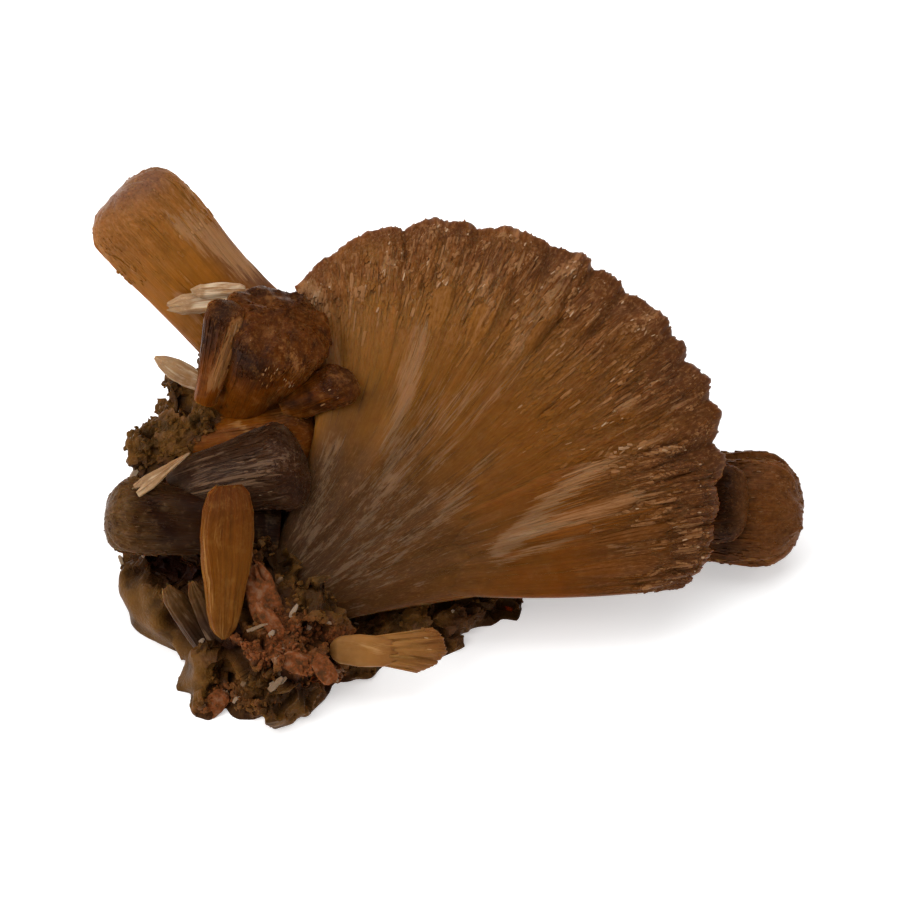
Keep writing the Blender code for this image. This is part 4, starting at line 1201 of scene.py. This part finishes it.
def crystal_finish(name, left, right, pale, deep, roughness=0.35, glow=0.4, glow_size=0.9,
                   bump=0.5, cloudy=0.3, edge_sheen=0.35, gap_shade=0.25, uneven=0.14, grains=0.35,
                   broad=0.0, fineness=1.0):
    """A lath crystal's finish. left and right are root-to-rim colours at a fan's two edges, pale the
    opaque laths and deep the dark of cloudy mottling and the painted shade in the gaps between laths;
    glow is the share of light scattered inside, and broad how much the laths near the root gather in
    pale flames with deep gaps between them."""
    look = Finish(name)
    spot = look.stretched(look.node("TexCoord", {}, "Object"), (1 / MM,) * 3)
    pale_here, zone, own = look.split("tone")
    side = look.attribute("side", "Fac")

    # Coordinates along the fibres, which wander sideways by up to a millimetre
    fibre = look.attribute("fibre")
    sway = look.times(look.minus(look.noise(fibre, (0.22, 0.11, 0.22), 1.0), 0.5), 2.2)
    fibre = look.node("VectorMath", {0: fibre, 1: look.node("CombineXYZ", {"X": sway})})
    streak = look.noise(fibre, (3.0 * fineness, 0.16, 3.0 * fineness), 5.0, 0.68)
    hair = look.noise(fibre, (7.0 * fineness, 0.5, 7.0 * fineness))
    patch = look.noise(fibre, (0.7, 0.10, 0.7), 5.0, 0.70)
    flames = look.ranged(look.noise(fibre, (0.26, 0.20, 0.26), 6.0, 0.72), 0.30, 0.70, -0.05, 1.05)
    grain = look.noise(fibre, (2.6, 1.2, 2.6), 3.0, 0.7)
    cloud = look.noise(spot, 0.17)
    mottle = look.noise(spot, 0.55, 4.0, 0.62)

    # Bundles of pale laths, in streaks and patches, and in flames near the root
    rooted = look.ranged(zone, 0.55, 0.20, 0.0, broad)
    patch = look.plus(patch, look.times(rooted, look.minus(flames, patch)))
    bundles = look.plus(look.times(streak, 0.36), look.times(patch, 0.64))
    bundles = look.ranged(look.plus(bundles, look.times(pale_here, 0.26)), 0.63, 0.72, 0.0, 0.85)
    dim = look.times(side, look.ranged(pale_here, 0.3, 1.0, 1.0, 0.0))
    dim_pale = look.layered(pale, (dim, levelled(pale, DIM_PALE_LEVELS)))
    root_pale = levelled(pale, [1 - broad * (1 - level) for level in ROOT_PALE_LEVELS])
    bundle_colour = look.layered(root_pale, (look.ranged(zone, 0.25, 0.60), dim_pale))

    # Painted sheen: faces seen edge-on take the pale colour; and grains of pale frost and of painted
    # shade in the rim zone and near the root
    edge = look.ranged(look.node("LayerWeight", {}, "Facing"), 0.45, 1.0, 0.0, edge_sheen)
    sheen_and_mottle = look.plus(edge, look.ranged(mottle, 0.44, 0.28, 0.0, cloudy * 0.5))
    grainy = look.plus(look.ranged(zone, 0.62, 0.86, 0.15 * grains, grains),
                       look.ranged(zone, 0.48, 0.30, 0.0, 0.4 * grains))
    shifted = look.plus(zone, look.times(look.minus(cloud, 0.5), 0.35))
    colour = look.layered(
        look.ramp(shifted, left),
        (side, look.ramp(shifted, right)),
        # Painted shade: the deep colour along dark streaks, in the gaps between laths
        (look.ranged(streak, 0.48, 0.30, 0.0, gap_shade), deep),
        (look.ranged(mottle, 0.50, 0.72, 0.0, cloudy), deep),
        # Painted sheen on faces seen edge-on, with pale mottling
        (sheen_and_mottle, pale),
        (look.times(look.ranged(flames, 0.38, 0.15, 0.0, 0.55), rooted), deep),
        (bundles, bundle_colour),
        (look.times(look.ranged(grain, 0.52, 0.68), grainy), dim_pale),
        (look.times(look.ranged(grain, 0.47, 0.33), grainy), deep),
        # Painted glint where the pale value runs high
        (look.ranged(pale_here, 1.3, 2.2, 0.0, 0.8), PAINTED_GLINT),
    )
    bright = look.ranged(own, 0.0, 1.0, 1.0 - uneven, 1.0 + 0.3 * uneven)
    fine = look.plus(look.times(hair, 0.5), look.times(grain, look.times(grainy, 3.0)))
    look.shader({
        "Base Color": look.node("VectorMath", {0: colour, "Scale": bright}, operation="SCALE"),
        "Roughness": look.ranged(hair, 0.3, 0.7, roughness - 0.08, roughness + 0.14),
        "IOR": 1.5,
        "Specular IOR Level": SHINE,
        "Subsurface Weight": glow,
        "Subsurface Radius": GLOW_REACH,
        "Subsurface Scale": glow_size * MM,
        "Normal": look.relief(look.plus(streak, fine), bump, 0.10),
    })
    return look.material


MATRIX_BROWN = (0.070, 0.028, 0.010)
MATRIX_ORANGE = (0.17, 0.046, 0.012)
MATRIX_PINK = (0.20, 0.092, 0.046)
MATRIX_OLIVE = (0.050, 0.023, 0.006)
MATRIX_AMBER = (0.115, 0.048, 0.009)
MATRIX_HONEY = (0.130, 0.057, 0.012)
# Painted shade for the rock's sunken places, and for its hollows
MATRIX_RECESS_SHADE = (0.016, 0.006, 0.002)
MATRIX_HOLLOW_SHADE = (0.013, 0.003, 0.001)
MATRIX_WHITE = (0.36, 0.26, 0.18)


def matrix_finish():
    """Rock that is olive brown and glassy, with zones of orange crumbs, and painted shade in its hollows and
    sunken places.
    """
    look = Finish("matrix rock")
    spot = look.attribute("fibre")
    orange, depth, dark = look.split("tone")
    patches = look.noise(spot, 0.22, 3.0, 0.6)
    crumbs = look.noise(spot, 0.9, 3.0, 0.6)
    specks = look.noise(spot, 3.2)
    colour = look.layered(
        look.ramp(patches, ((0.34, MATRIX_OLIVE), (0.50, MATRIX_AMBER), (0.66, MATRIX_BROWN))),
        (look.times(orange, -1.2, clamp=True),
         look.ramp(crumbs, ((0.34, MATRIX_AMBER), (0.50, MATRIX_HONEY), (0.68, MATRIX_AMBER)))),
        (look.times(orange, 1.3, clamp=True),
         look.ramp(crumbs, ((0.36, MATRIX_BROWN), (0.52, MATRIX_ORANGE), (0.68, MATRIX_PINK)))),
        (look.ranged(specks, 0.62, 0.78, 0.0, 0.6), MATRIX_PINK),
        # Painted shade, darker where the rock is sunk in
        (look.ranged(depth, 0.05, -0.90, 0.0, 0.75), MATRIX_RECESS_SHADE),
        (look.ranged(depth, 0.25, 0.75, 0.0, 0.35), MATRIX_PINK),
        # Painted shade in the hollows
        (look.times(dark, 1.2, clamp=True), MATRIX_HOLLOW_SHADE),
        (look.attribute("side", "Fac"), MATRIX_WHITE),
    )
    look.shader({
        "Base Color": colour,
        "Roughness": look.ranged(orange, 0.0, 1.0, 0.38, 0.85),
        "Specular IOR Level": SHINE,
        "Subsurface Weight": 0.3,
        "Subsurface Radius": GLOW_REACH,
        "Subsurface Scale": 0.25 * MM,
        "Normal": look.relief(specks, 0.6, 0.25),
    })
    return look.material


def floor_finish():
    look = Finish("pale floor")
    cloud = look.noise(look.node("TexCoord", {}, "Object"), 3.0)
    look.shader({
        "Base Color": look.ramp(cloud, ((0.0, (0.86, 0.86, 0.86)), (1.0, (0.90, 0.90, 0.90)))),
        "Roughness": 0.9,
        "Specular IOR Level": 0.1,
        "Emission Color": (1, 1, 1),
        "Emission Strength": FLOOR_GLOW,
    })
    return look.material


# The crystals' colours, from root to rim

def evenly(root, middle, tip):
    return ((0.0, root), (0.5, middle), (1.0, tip))


FAN_LEFT = ((0.0, (0.047, 0.022, 0.010)), (0.35, (0.074, 0.031, 0.010)), (0.54, (0.21, 0.080, 0.011)),
            (0.80, (0.235, 0.090, 0.016)), (0.93, (0.172, 0.057, 0.012)), (1.0, (0.13, 0.042, 0.011)))
FAN_RIGHT = ((0.0, (0.056, 0.023, 0.007)), (0.24, (0.086, 0.032, 0.007)), (0.42, (0.116, 0.039, 0.005)),
             (0.60, (0.138, 0.036, 0.002)), (0.82, (0.100, 0.031, 0.005)), (1.0, (0.074, 0.024, 0.007)))
FAN_PALE = (0.270, 0.124, 0.049)
# Deep colours: the dark of cloudy mottling, and painted shade in the gaps between laths and grains
FAN_DEEP = (0.060, 0.016, 0.002)
SHEAF_DEEP = (0.020, 0.005, 0.001)
GOLDEN = evenly((0.18, 0.056, 0.005), (0.27, 0.094, 0.010), (0.24, 0.092, 0.022))
BROWN = evenly((0.16, 0.038, 0.001), (0.105, 0.024, 0.001), (0.082, 0.020, 0.002))
AMBER_MASS = evenly((0.13, 0.030, 0.001), (0.17, 0.044, 0.001), (0.13, 0.030, 0.001))
GREY = evenly((0.038, 0.018, 0.009), (0.038, 0.016, 0.007), (0.045, 0.015, 0.005))
OLIVE = evenly((0.040, 0.020, 0.012), (0.034, 0.014, 0.006), (0.085, 0.036, 0.008))
RIGHT_AMBER = evenly((0.13, 0.034, 0.003), (0.15, 0.043, 0.004), (0.120, 0.040, 0.009))
BLADE_AMBER = evenly((0.15, 0.050, 0.006), (0.15, 0.046, 0.004), (0.10, 0.024, 0.003))
CREAM = evenly((0.27, 0.130, 0.050), (0.30, 0.165, 0.075), (0.34, 0.205, 0.105))
# Near-black painted shade, the second colour of most sheaves
DARK = evenly((0.014, 0.005, 0.002), (0.013, 0.004, 0.002), (0.020, 0.007, 0.003))
MAUVE = evenly((0.10, 0.045, 0.025), (0.14, 0.060, 0.034), (0.17, 0.075, 0.040))
PALE_AMBER = evenly((0.20, 0.088, 0.024), (0.26, 0.112, 0.028), (0.17, 0.060, 0.014))

# Each sheaf's shape, colours and finish: clouds and gaps say how much its dark colour shows, in cloudy
# mottling and as painted shade in the gaps between its laths; tips and laths are counts for each square
# millimetre, pale and sparkle are shares of pale laths and of ends with a painted glint. Shades are
# streaks of the plane where its second colour shows: mostly painted shade in hollows, pockets and
# places that neighbours shadow, and on the upper left sheaf a mauve tint of its own. Pales are streaks
# where it is pale, and sparkles where painted glints sit on its ends.
SHEAVES = (
    dict(
        name="upper_left_sheaf", node="upper_left_sheaf", slot="sheaf_amber",
        shapes=[Sheaf((-22.9, 12.4, -4.5), (-41.5, 32.5, -0.5), (6.0, 7.0), (3.8, 4.9), seed=21)],
        colours=GOLDEN, shaded=MAUVE, bright=(0.36, 0.175, 0.072), clouds=0.22, gap_shade=0.15,
        tips=0.45, laths=0.03, pale=0.15, glint_share=0.01,
        shadow_and_tint_streaks=(((-43.5, 31.0), (-37.0, 34.2), 1.8, 1.0), ((-29.5, 26.5), (-24.0, 21.0), 1.6, 0.9)),
        pales=(((-33.0, 28.5), (-26.0, 23.0), 2.2, 0.8), ((-39.6, 33.4), (-36.0, 33.4), 1.2, 0.4),
               ((-34.0, 19.6), (-31.6, 17.0), 1.0, 0.6)),
    ),
    dict(
        name="brown_sheaf", node="brown_sheaf", slot="sheaf_brown",
        shapes=[Sheaf((-26.4, 5.0, -3.0), (-20.9, 16.8, 11.5), (5.0, 7.6), (4.4, 6.6),
                      facing=(0.2, 1, -0.4), end_roughness=1.4, seed=22),
                Sheaf((-20.0, 5.4, 3.0), (-12.6, 8.7, 8.6), (2.3, 2.9), (2.0, 2.4),
                      facing=(0.3, -0.3, 1), end_roughness=1.0, seed=24)],
        colours=BROWN, bright=(0.24, 0.095, 0.026), clouds=1.0, gap_shade=0.6, tips=1.2, laths=0.04,
        shadow_and_tint_streaks=(((-26.0, 20.4), (-17.5, 19.4), 1.6, 0.8), ((-26.6, 12.2), (-24.4, 10.2), 2.2, 1.0),
                ((-22.0, 6.0), (-15.0, 5.0), 1.2, 0.7), ((-15.0, 8.5), (-12.0, 9.5), 1.8, 0.6)),
        pales=(((-20.6, 12.6), (-18.0, 9.6), 1.6, 0.5),),
        glint_streaks=(((-26.5, 15.6), (-23.0, 12.4), 0.9, 0.7), ((-23.0, 12.4), (-21.4, 9.2), 1.4, 0.7),
                  ((-21.4, 9.2), (-18.4, 8.0), 1.0, 0.6), ((-19.0, 16.6), (-17.4, 14.8), 1.2, 0.4),
                  ((-26.0, 20.6), (-19.0, 20.0), 0.9, 0.25), ((-15.0, 8.5), (-12.0, 9.5), 2.0, 0.25)),
    ),
    dict(
        name="brown_flank", node="brown_sheaf", slot="sheaf_brown",
        shapes=[Sheaf((-30.6, 6.2, 5.0), (-27.6, 18.2, 12.6), (1.5, 3.1), (1.4, 2.3),
                      facing=(-0.3, 0.1, 0.95), seed=23)],
        colours=BROWN, bright=(0.24, 0.100, 0.030), clouds=0.6, gap_shade=0.7, tips=0.8, laths=0.30, pale=0.1,
        shadow_and_tint_streaks=(((-31.0, 13.0), (-27.6, 18.8), 1.7, 0.9),),
        pales=(((-29.6, 8.0), (-26.4, 15.6), 0.9, 1.2),),
    ),
    dict(
        name="amber_root", node="brown_sheaf", slot="sheaf_brown",
        shapes=[Sheaf((-34.0, 0.5, -1.0), (-16.6, 2.4, 2.6), (3.2, 4.4), (3.0, 3.2), seed=25)],
        colours=AMBER_MASS, bright=(0.30, 0.130, 0.036), clouds=0.5, gap_shade=0.3, tips=0.2, laths=0.06,
        glint_share=0.0, shadow_and_tint_streaks=(((-22.0, 5.0), (-17.0, 4.0), 1.5, 0.7),),
        pales=(((-29.2, 9.0), (-27.6, 6.8), 0.9, 1.4), ((-27.0, 3.6), (-24.0, 1.6), 0.5, 0.8)),
    ),
    dict(
        name="grey_sheaf", node="grey_sheaf", slot="sheaf_grey_brown",
        shapes=[Sheaf((-34.0, -5.2, 0.5), (-18.4, -1.8, 7.4), (3.8, 5.9), (3.4, 3.9), bend=(0, 0.4, 0),
                      seed=26)],
        colours=GREY, bright=(0.135, 0.073, 0.040), clouds=0.8, gap_shade=0.8, tips=1.2, laths=0.35, pale=0.1,
        glint_share=0.06,
        shadow_and_tint_streaks=(((-30.0, -2.5), (-29.0, -4.5), 2.4, 0.5), ((-22.0, 2.5), (-17.6, -1.0), 1.2, 0.6),
                ((-20.0, -4.5), (-17.0, -5.5), 1.6, 0.8)),
        pales=(((-31.0, -4.0), (-20.0, -1.0), 2.0, 0.6),),
        glint_streaks=(((-20.5, 1.0), (-17.6, -3.0), 0.6, 0.3),),
    ),
    dict(
        name="left_sheaf", node="left_sheaf", slot="sheaf_olive_brown",
        shapes=[Sheaf((-21.6, -9.9, 1.6), (-43.0, -8.0, 4.0), (3.4, 5.2), (3.2, 4.2), seed=27)],
        colours=OLIVE, bright=(0.150, 0.080, 0.036), clouds=0.9, gap_shade=0.6, tips=0.7, laths=0.03,
        shadow_and_tint_streaks=(((-37.4, -6.6), (-35.0, -10.4), 1.7, 1.0), ((-33.0, -5.0), (-28.0, -9.5), 2.6, 0.9),
                ((-24.5, -9.6), (-18.0, -9.6), 3.5, 1.5)),
        pales=(((-42.0, -5.5), (-40.6, -11.0), 1.4, 0.3), ((-30.5, -5.6), (-29.0, -7.6), 1.6, 0.5)),
        glint_streaks=(((-34.4, -8.0), (-33.0, -8.8), 0.4, 0.6), ((-38.0, -9.6), (-36.6, -10.2), 0.4, 0.4)),
    ),
    dict(
        name="right_sheaf", node="right_sheaf", slot="sheaf_brown",
        shapes=[Sheaf((4.0, -6.5, -12.0), (44.1, -7.7, -8.4), (4.6, 7.7), (3.6, 5.3), end_roughness=1.0,
                      seed=28),
                Sheaf((18.0, -6.5, -8.0), (37.4, -6.6, -4.6), (3.6, 5.2), (2.4, 3.2), seed=29)],
        colours=RIGHT_AMBER, bright=(0.22, 0.095, 0.036), clouds=0.5, gap_shade=0.4, tips=0.9, laths=0.06,
        glint_share=0.03,
        shadow_and_tint_streaks=(((34.4, -3.5), (34.4, -12.0), 2.4, 0.9),),
        pales=(((40.0, -2.6), (43.0, -5.0), 0.8, 0.5),),
    ),
)


# The pieces

def build_great_fan(skin_finish, lath_finish):
    skin, bundles, laths, rim = Parts(), Parts(), Parts(), Parts()
    add_fan_skin(skin, GREAT_FAN, laths=290)
    for number, bundle in enumerate(BUNDLES):
        add_bundle(bundles, GREAT_FAN, *bundle, seed=number + 1)
    add_fibre_laths(laths, GREAT_FAN, 160, seed=41, widths=(0.08, 0.16))
    add_fibre_laths(laths, GREAT_FAN, 700, seed=42, widths=(0.08, 0.22), only_pale=True)
    add_end_lines(laths, GREAT_FAN, END_LINES, seed=46)
    add_fibre_laths(laths, GREAT_FAN, 500, seed=43, face=-1)
    add_rim_tips(rim, GREAT_FAN, 7400, seed=44)
    add_rim_tips(rim, GREAT_FAN, 2000, seed=45, face=-1, starts=[0.86] * len(RIM_STARTS))
    make_piece("fan_skin", skin, skin_finish, "main_fan", smooth=True)
    make_piece("fan_bundles", bundles, lath_finish, "main_fan", smooth=True)
    make_piece("fan_laths", laths, lath_finish, "main_fan")
    make_piece("fan_rim", rim, lath_finish, "main_fan")


def build_lobe(skin_finish, lath_finish):
    skin, bundles, laths = Parts(), Parts(), Parts()
    add_fan_skin(skin, LOBE, laths=110)
    for number, bundle in enumerate(LOBE_BUNDLES):
        add_bundle(bundles, LOBE, *bundle, seed=number + 31)
    add_fibre_laths(laths, LOBE, 80, seed=51, widths=(0.08, 0.16))
    add_fibre_laths(laths, LOBE, 500, seed=54, widths=(0.08, 0.24), only_pale=True)
    add_end_lines(laths, LOBE, LOBE_END_LINES, seed=55)
    add_rim_tips(laths, LOBE, 2200, seed=52, starts=(0.82, 0.76, 0.74, 0.74, 0.78, 0.84))
    add_rim_tips(laths, LOBE, 500, seed=53, face=-1, starts=[0.88] * len(RIM_STARTS))
    make_piece("lobe_skin", skin, skin_finish, "main_fan", smooth=True)
    make_piece("lobe_bundles", bundles, lath_finish, "main_fan", smooth=True)
    make_piece("lobe_laths", laths, lath_finish, "main_fan")


def build_pale_fan():
    finish = crystal_finish("pale fan", PALE_AMBER, PALE_AMBER, (0.38, 0.20, 0.075), (0.12, 0.045, 0.010),
                            glow=0.4, glow_size=0.4, bump=0.25, edge_sheen=0.15, gap_shade=0.1, uneven=0.06,
                            grains=0.15)
    skin, root, laths = Parts(), Parts(), Parts()
    add_fan_skin(skin, PALE_FAN, laths=60, step_size=0.06)
    add_blade(root, PALE_ROOT, 0.2, relief=0.05, laths=24)
    add_fibre_laths(laths, PALE_FAN, 30, seed=61, widths=(0.08, 0.18), runs=(3.0, 7.0))
    add_rim_tips(laths, PALE_FAN, 60, seed=62)
    make_piece("pale_fan_skin", skin, finish, "pale_fan", smooth=True)
    make_piece("pale_fan_root", root, finish, "pale_fan", smooth=True)
    make_piece("pale_fan_laths", laths, finish, "pale_fan")


def build_sheaf(name, node, slot, shapes, colours, bright, clouds, gap_shade, tips, laths, pale=0.0,
                glint_share=0.02, shaded=DARK, shadow_and_tint_streaks=(), pales=(), glint_streaks=()):
    """Two pieces from sheaves grown together: their skins, which glow, and their loose laths."""
    looks = (
        ("skin", dict(glow=0.7, glow_size=1.0, bump=0.3, edge_sheen=0.25, gap_shade=gap_shade)),
        ("laths", dict(glow=0.15, glow_size=0.3, edge_sheen=0.1, gap_shade=gap_shade * 0.5, uneven=0.16)),
    )
    skin, loose = Parts(), Parts()
    for sheaf in shapes:
        area = sheaf.around * sheaf.length
        add_sheaf_skin(skin, sheaf, pale)
        add_sheaf_laths(loose, sheaf, int(area * laths), pale)
        add_sheaf_tips(loose, sheaf, int(area * tips), pale, glint_share, glint_streaks)
    for parts, (part, look) in zip((skin, loose), looks):
        finish = crystal_finish(f"{name} {part}", colours, shaded, bright, SHEAF_DEEP, roughness=0.28,
                                cloudy=clouds, **look)
        make_piece(f"{name}_{part}", parts, finish, node, smooth=part == "skin", shadow_and_tint_streaks=shadow_and_tint_streaks,
                   pales=pales)


def build_blades():
    amber = crystal_finish("amber blade", BLADE_AMBER, BLADE_AMBER, (0.34, 0.16, 0.04),
                           (0.07, 0.020, 0.002), roughness=0.30, glow=0.5, gap_shade=0.8, edge_sheen=0.1, bump=1.0,
                           grains=0.2, fineness=2.8)
    cream = crystal_finish("cream blades", CREAM, CREAM, (0.56, 0.42, 0.28), (0.16, 0.07, 0.03),
                           roughness=0.40, glow=0.3, glow_size=0.5)
    dark = crystal_finish("dark blades", OLIVE, OLIVE, (0.20, 0.12, 0.07), (0.015, 0.008, 0.004))
    for name, blades, finish, slot, pale, laths, rows in (
        ("amber_blade", [AMBER_BLADE], amber, "blade_amber", 0.3, 44, 60),
        ("cream_blade", CREAM_BLADES, cream, "blade_cream", 0.6, 36, 48),
        ("cream_spindle", [CREAM_SPINDLE], cream, "blade_cream", 0.5, 28, 40),
        ("cream_flake", [CREAM_FLAKE], cream, "blade_cream", 0.5, 28, 40),
        ("dark_blades", DARK_BLADES, dark, "sheaf_olive_brown", 0.3, 28, 40),
    ):
        parts = Parts()
        for blade in blades:
            add_blade(parts, blade, pale, laths=laths, rows=rows)
        make_piece(f"{name}_laths", parts, finish, name, smooth=True)


def build_crystals():
    fan_colours = (FAN_LEFT, FAN_RIGHT, FAN_PALE, FAN_DEEP)
    skin = crystal_finish("fan amber", *fan_colours, glow=0.85, glow_size=1.6, bump=0.3, edge_sheen=0.12,
                          gap_shade=0.16, grains=0.75, broad=0.9)
    laths = crystal_finish("fan amber laths", *fan_colours, roughness=0.32, glow=0.15, glow_size=0.3,
                           bump=0.3, edge_sheen=0.0, gap_shade=0.1, uneven=0.12, grains=0.7, broad=0.9)
    build_great_fan(skin, laths)
    build_lobe(skin, laths)
    for sheaf in SHEAVES:
        build_sheaf(**sheaf)
    build_pale_fan()
    build_blades()


def placed(name, data, aim, azimuth, elevation, distance):
    """A light or camera that looks at the aim from this far; azimuth 0 is in front."""
    a, e = math.radians(azimuth), math.radians(elevation)
    away = Vector((math.sin(a) * math.cos(e), -math.cos(a) * math.cos(e), math.sin(e)))
    thing = bpy.data.objects.new(name, data)
    thing.location = aim + away * distance
    thing.rotation_euler = away.to_track_quat("Z", "Y").to_euler()
    bpy.context.scene.collection.objects.link(thing)
    return thing


def build_stage():
    """A pale floor, soft light from above and both sides, and the camera."""
    reach = FLOOR_REACH
    points = [(-reach, -reach, 0), (reach, -reach, 0), (reach, reach, 0), (-reach, reach, 0)]
    floor = new_object("floor", points, [(0, 1, 2, 3)])
    floor.data.materials.append(floor_finish())
    floor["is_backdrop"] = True
    scene = bpy.context.scene
    scene.world = bpy.data.worlds.new("studio")
    scene.world.use_nodes = True
    background = scene.world.node_tree.nodes["Background"]
    background.inputs["Color"].default_value = (1, 1, 1, 1)
    background.inputs["Strength"].default_value = WORLD_LIGHT
    aim = Vector((*CENTRING, PLANE_HEIGHT)) * MM
    for name, azimuth, elevation, distance, size, power in SOFT_LIGHTS:
        light = bpy.data.lights.new(name, "AREA")
        light.shape = "SQUARE"
        light.size = size
        light.energy = power
        placed(name, light, aim, azimuth, elevation, distance)
    camera = bpy.data.cameras.new("camera")
    camera.type = "ORTHO"
    camera.ortho_scale = VIEW_WIDTH * MM
    scene.camera = placed("camera", camera, aim, 0, VIEW_ELEVATION, VIEW_DISTANCE * MM)
    scene.view_settings.view_transform = "Standard"


def corners(box):
    return [list(corner) for corner in box]


solid_box = corners(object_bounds())
build_stage()
build_crystals()
build_matrix()
{"solids": solid_box, "visual": corners(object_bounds())}
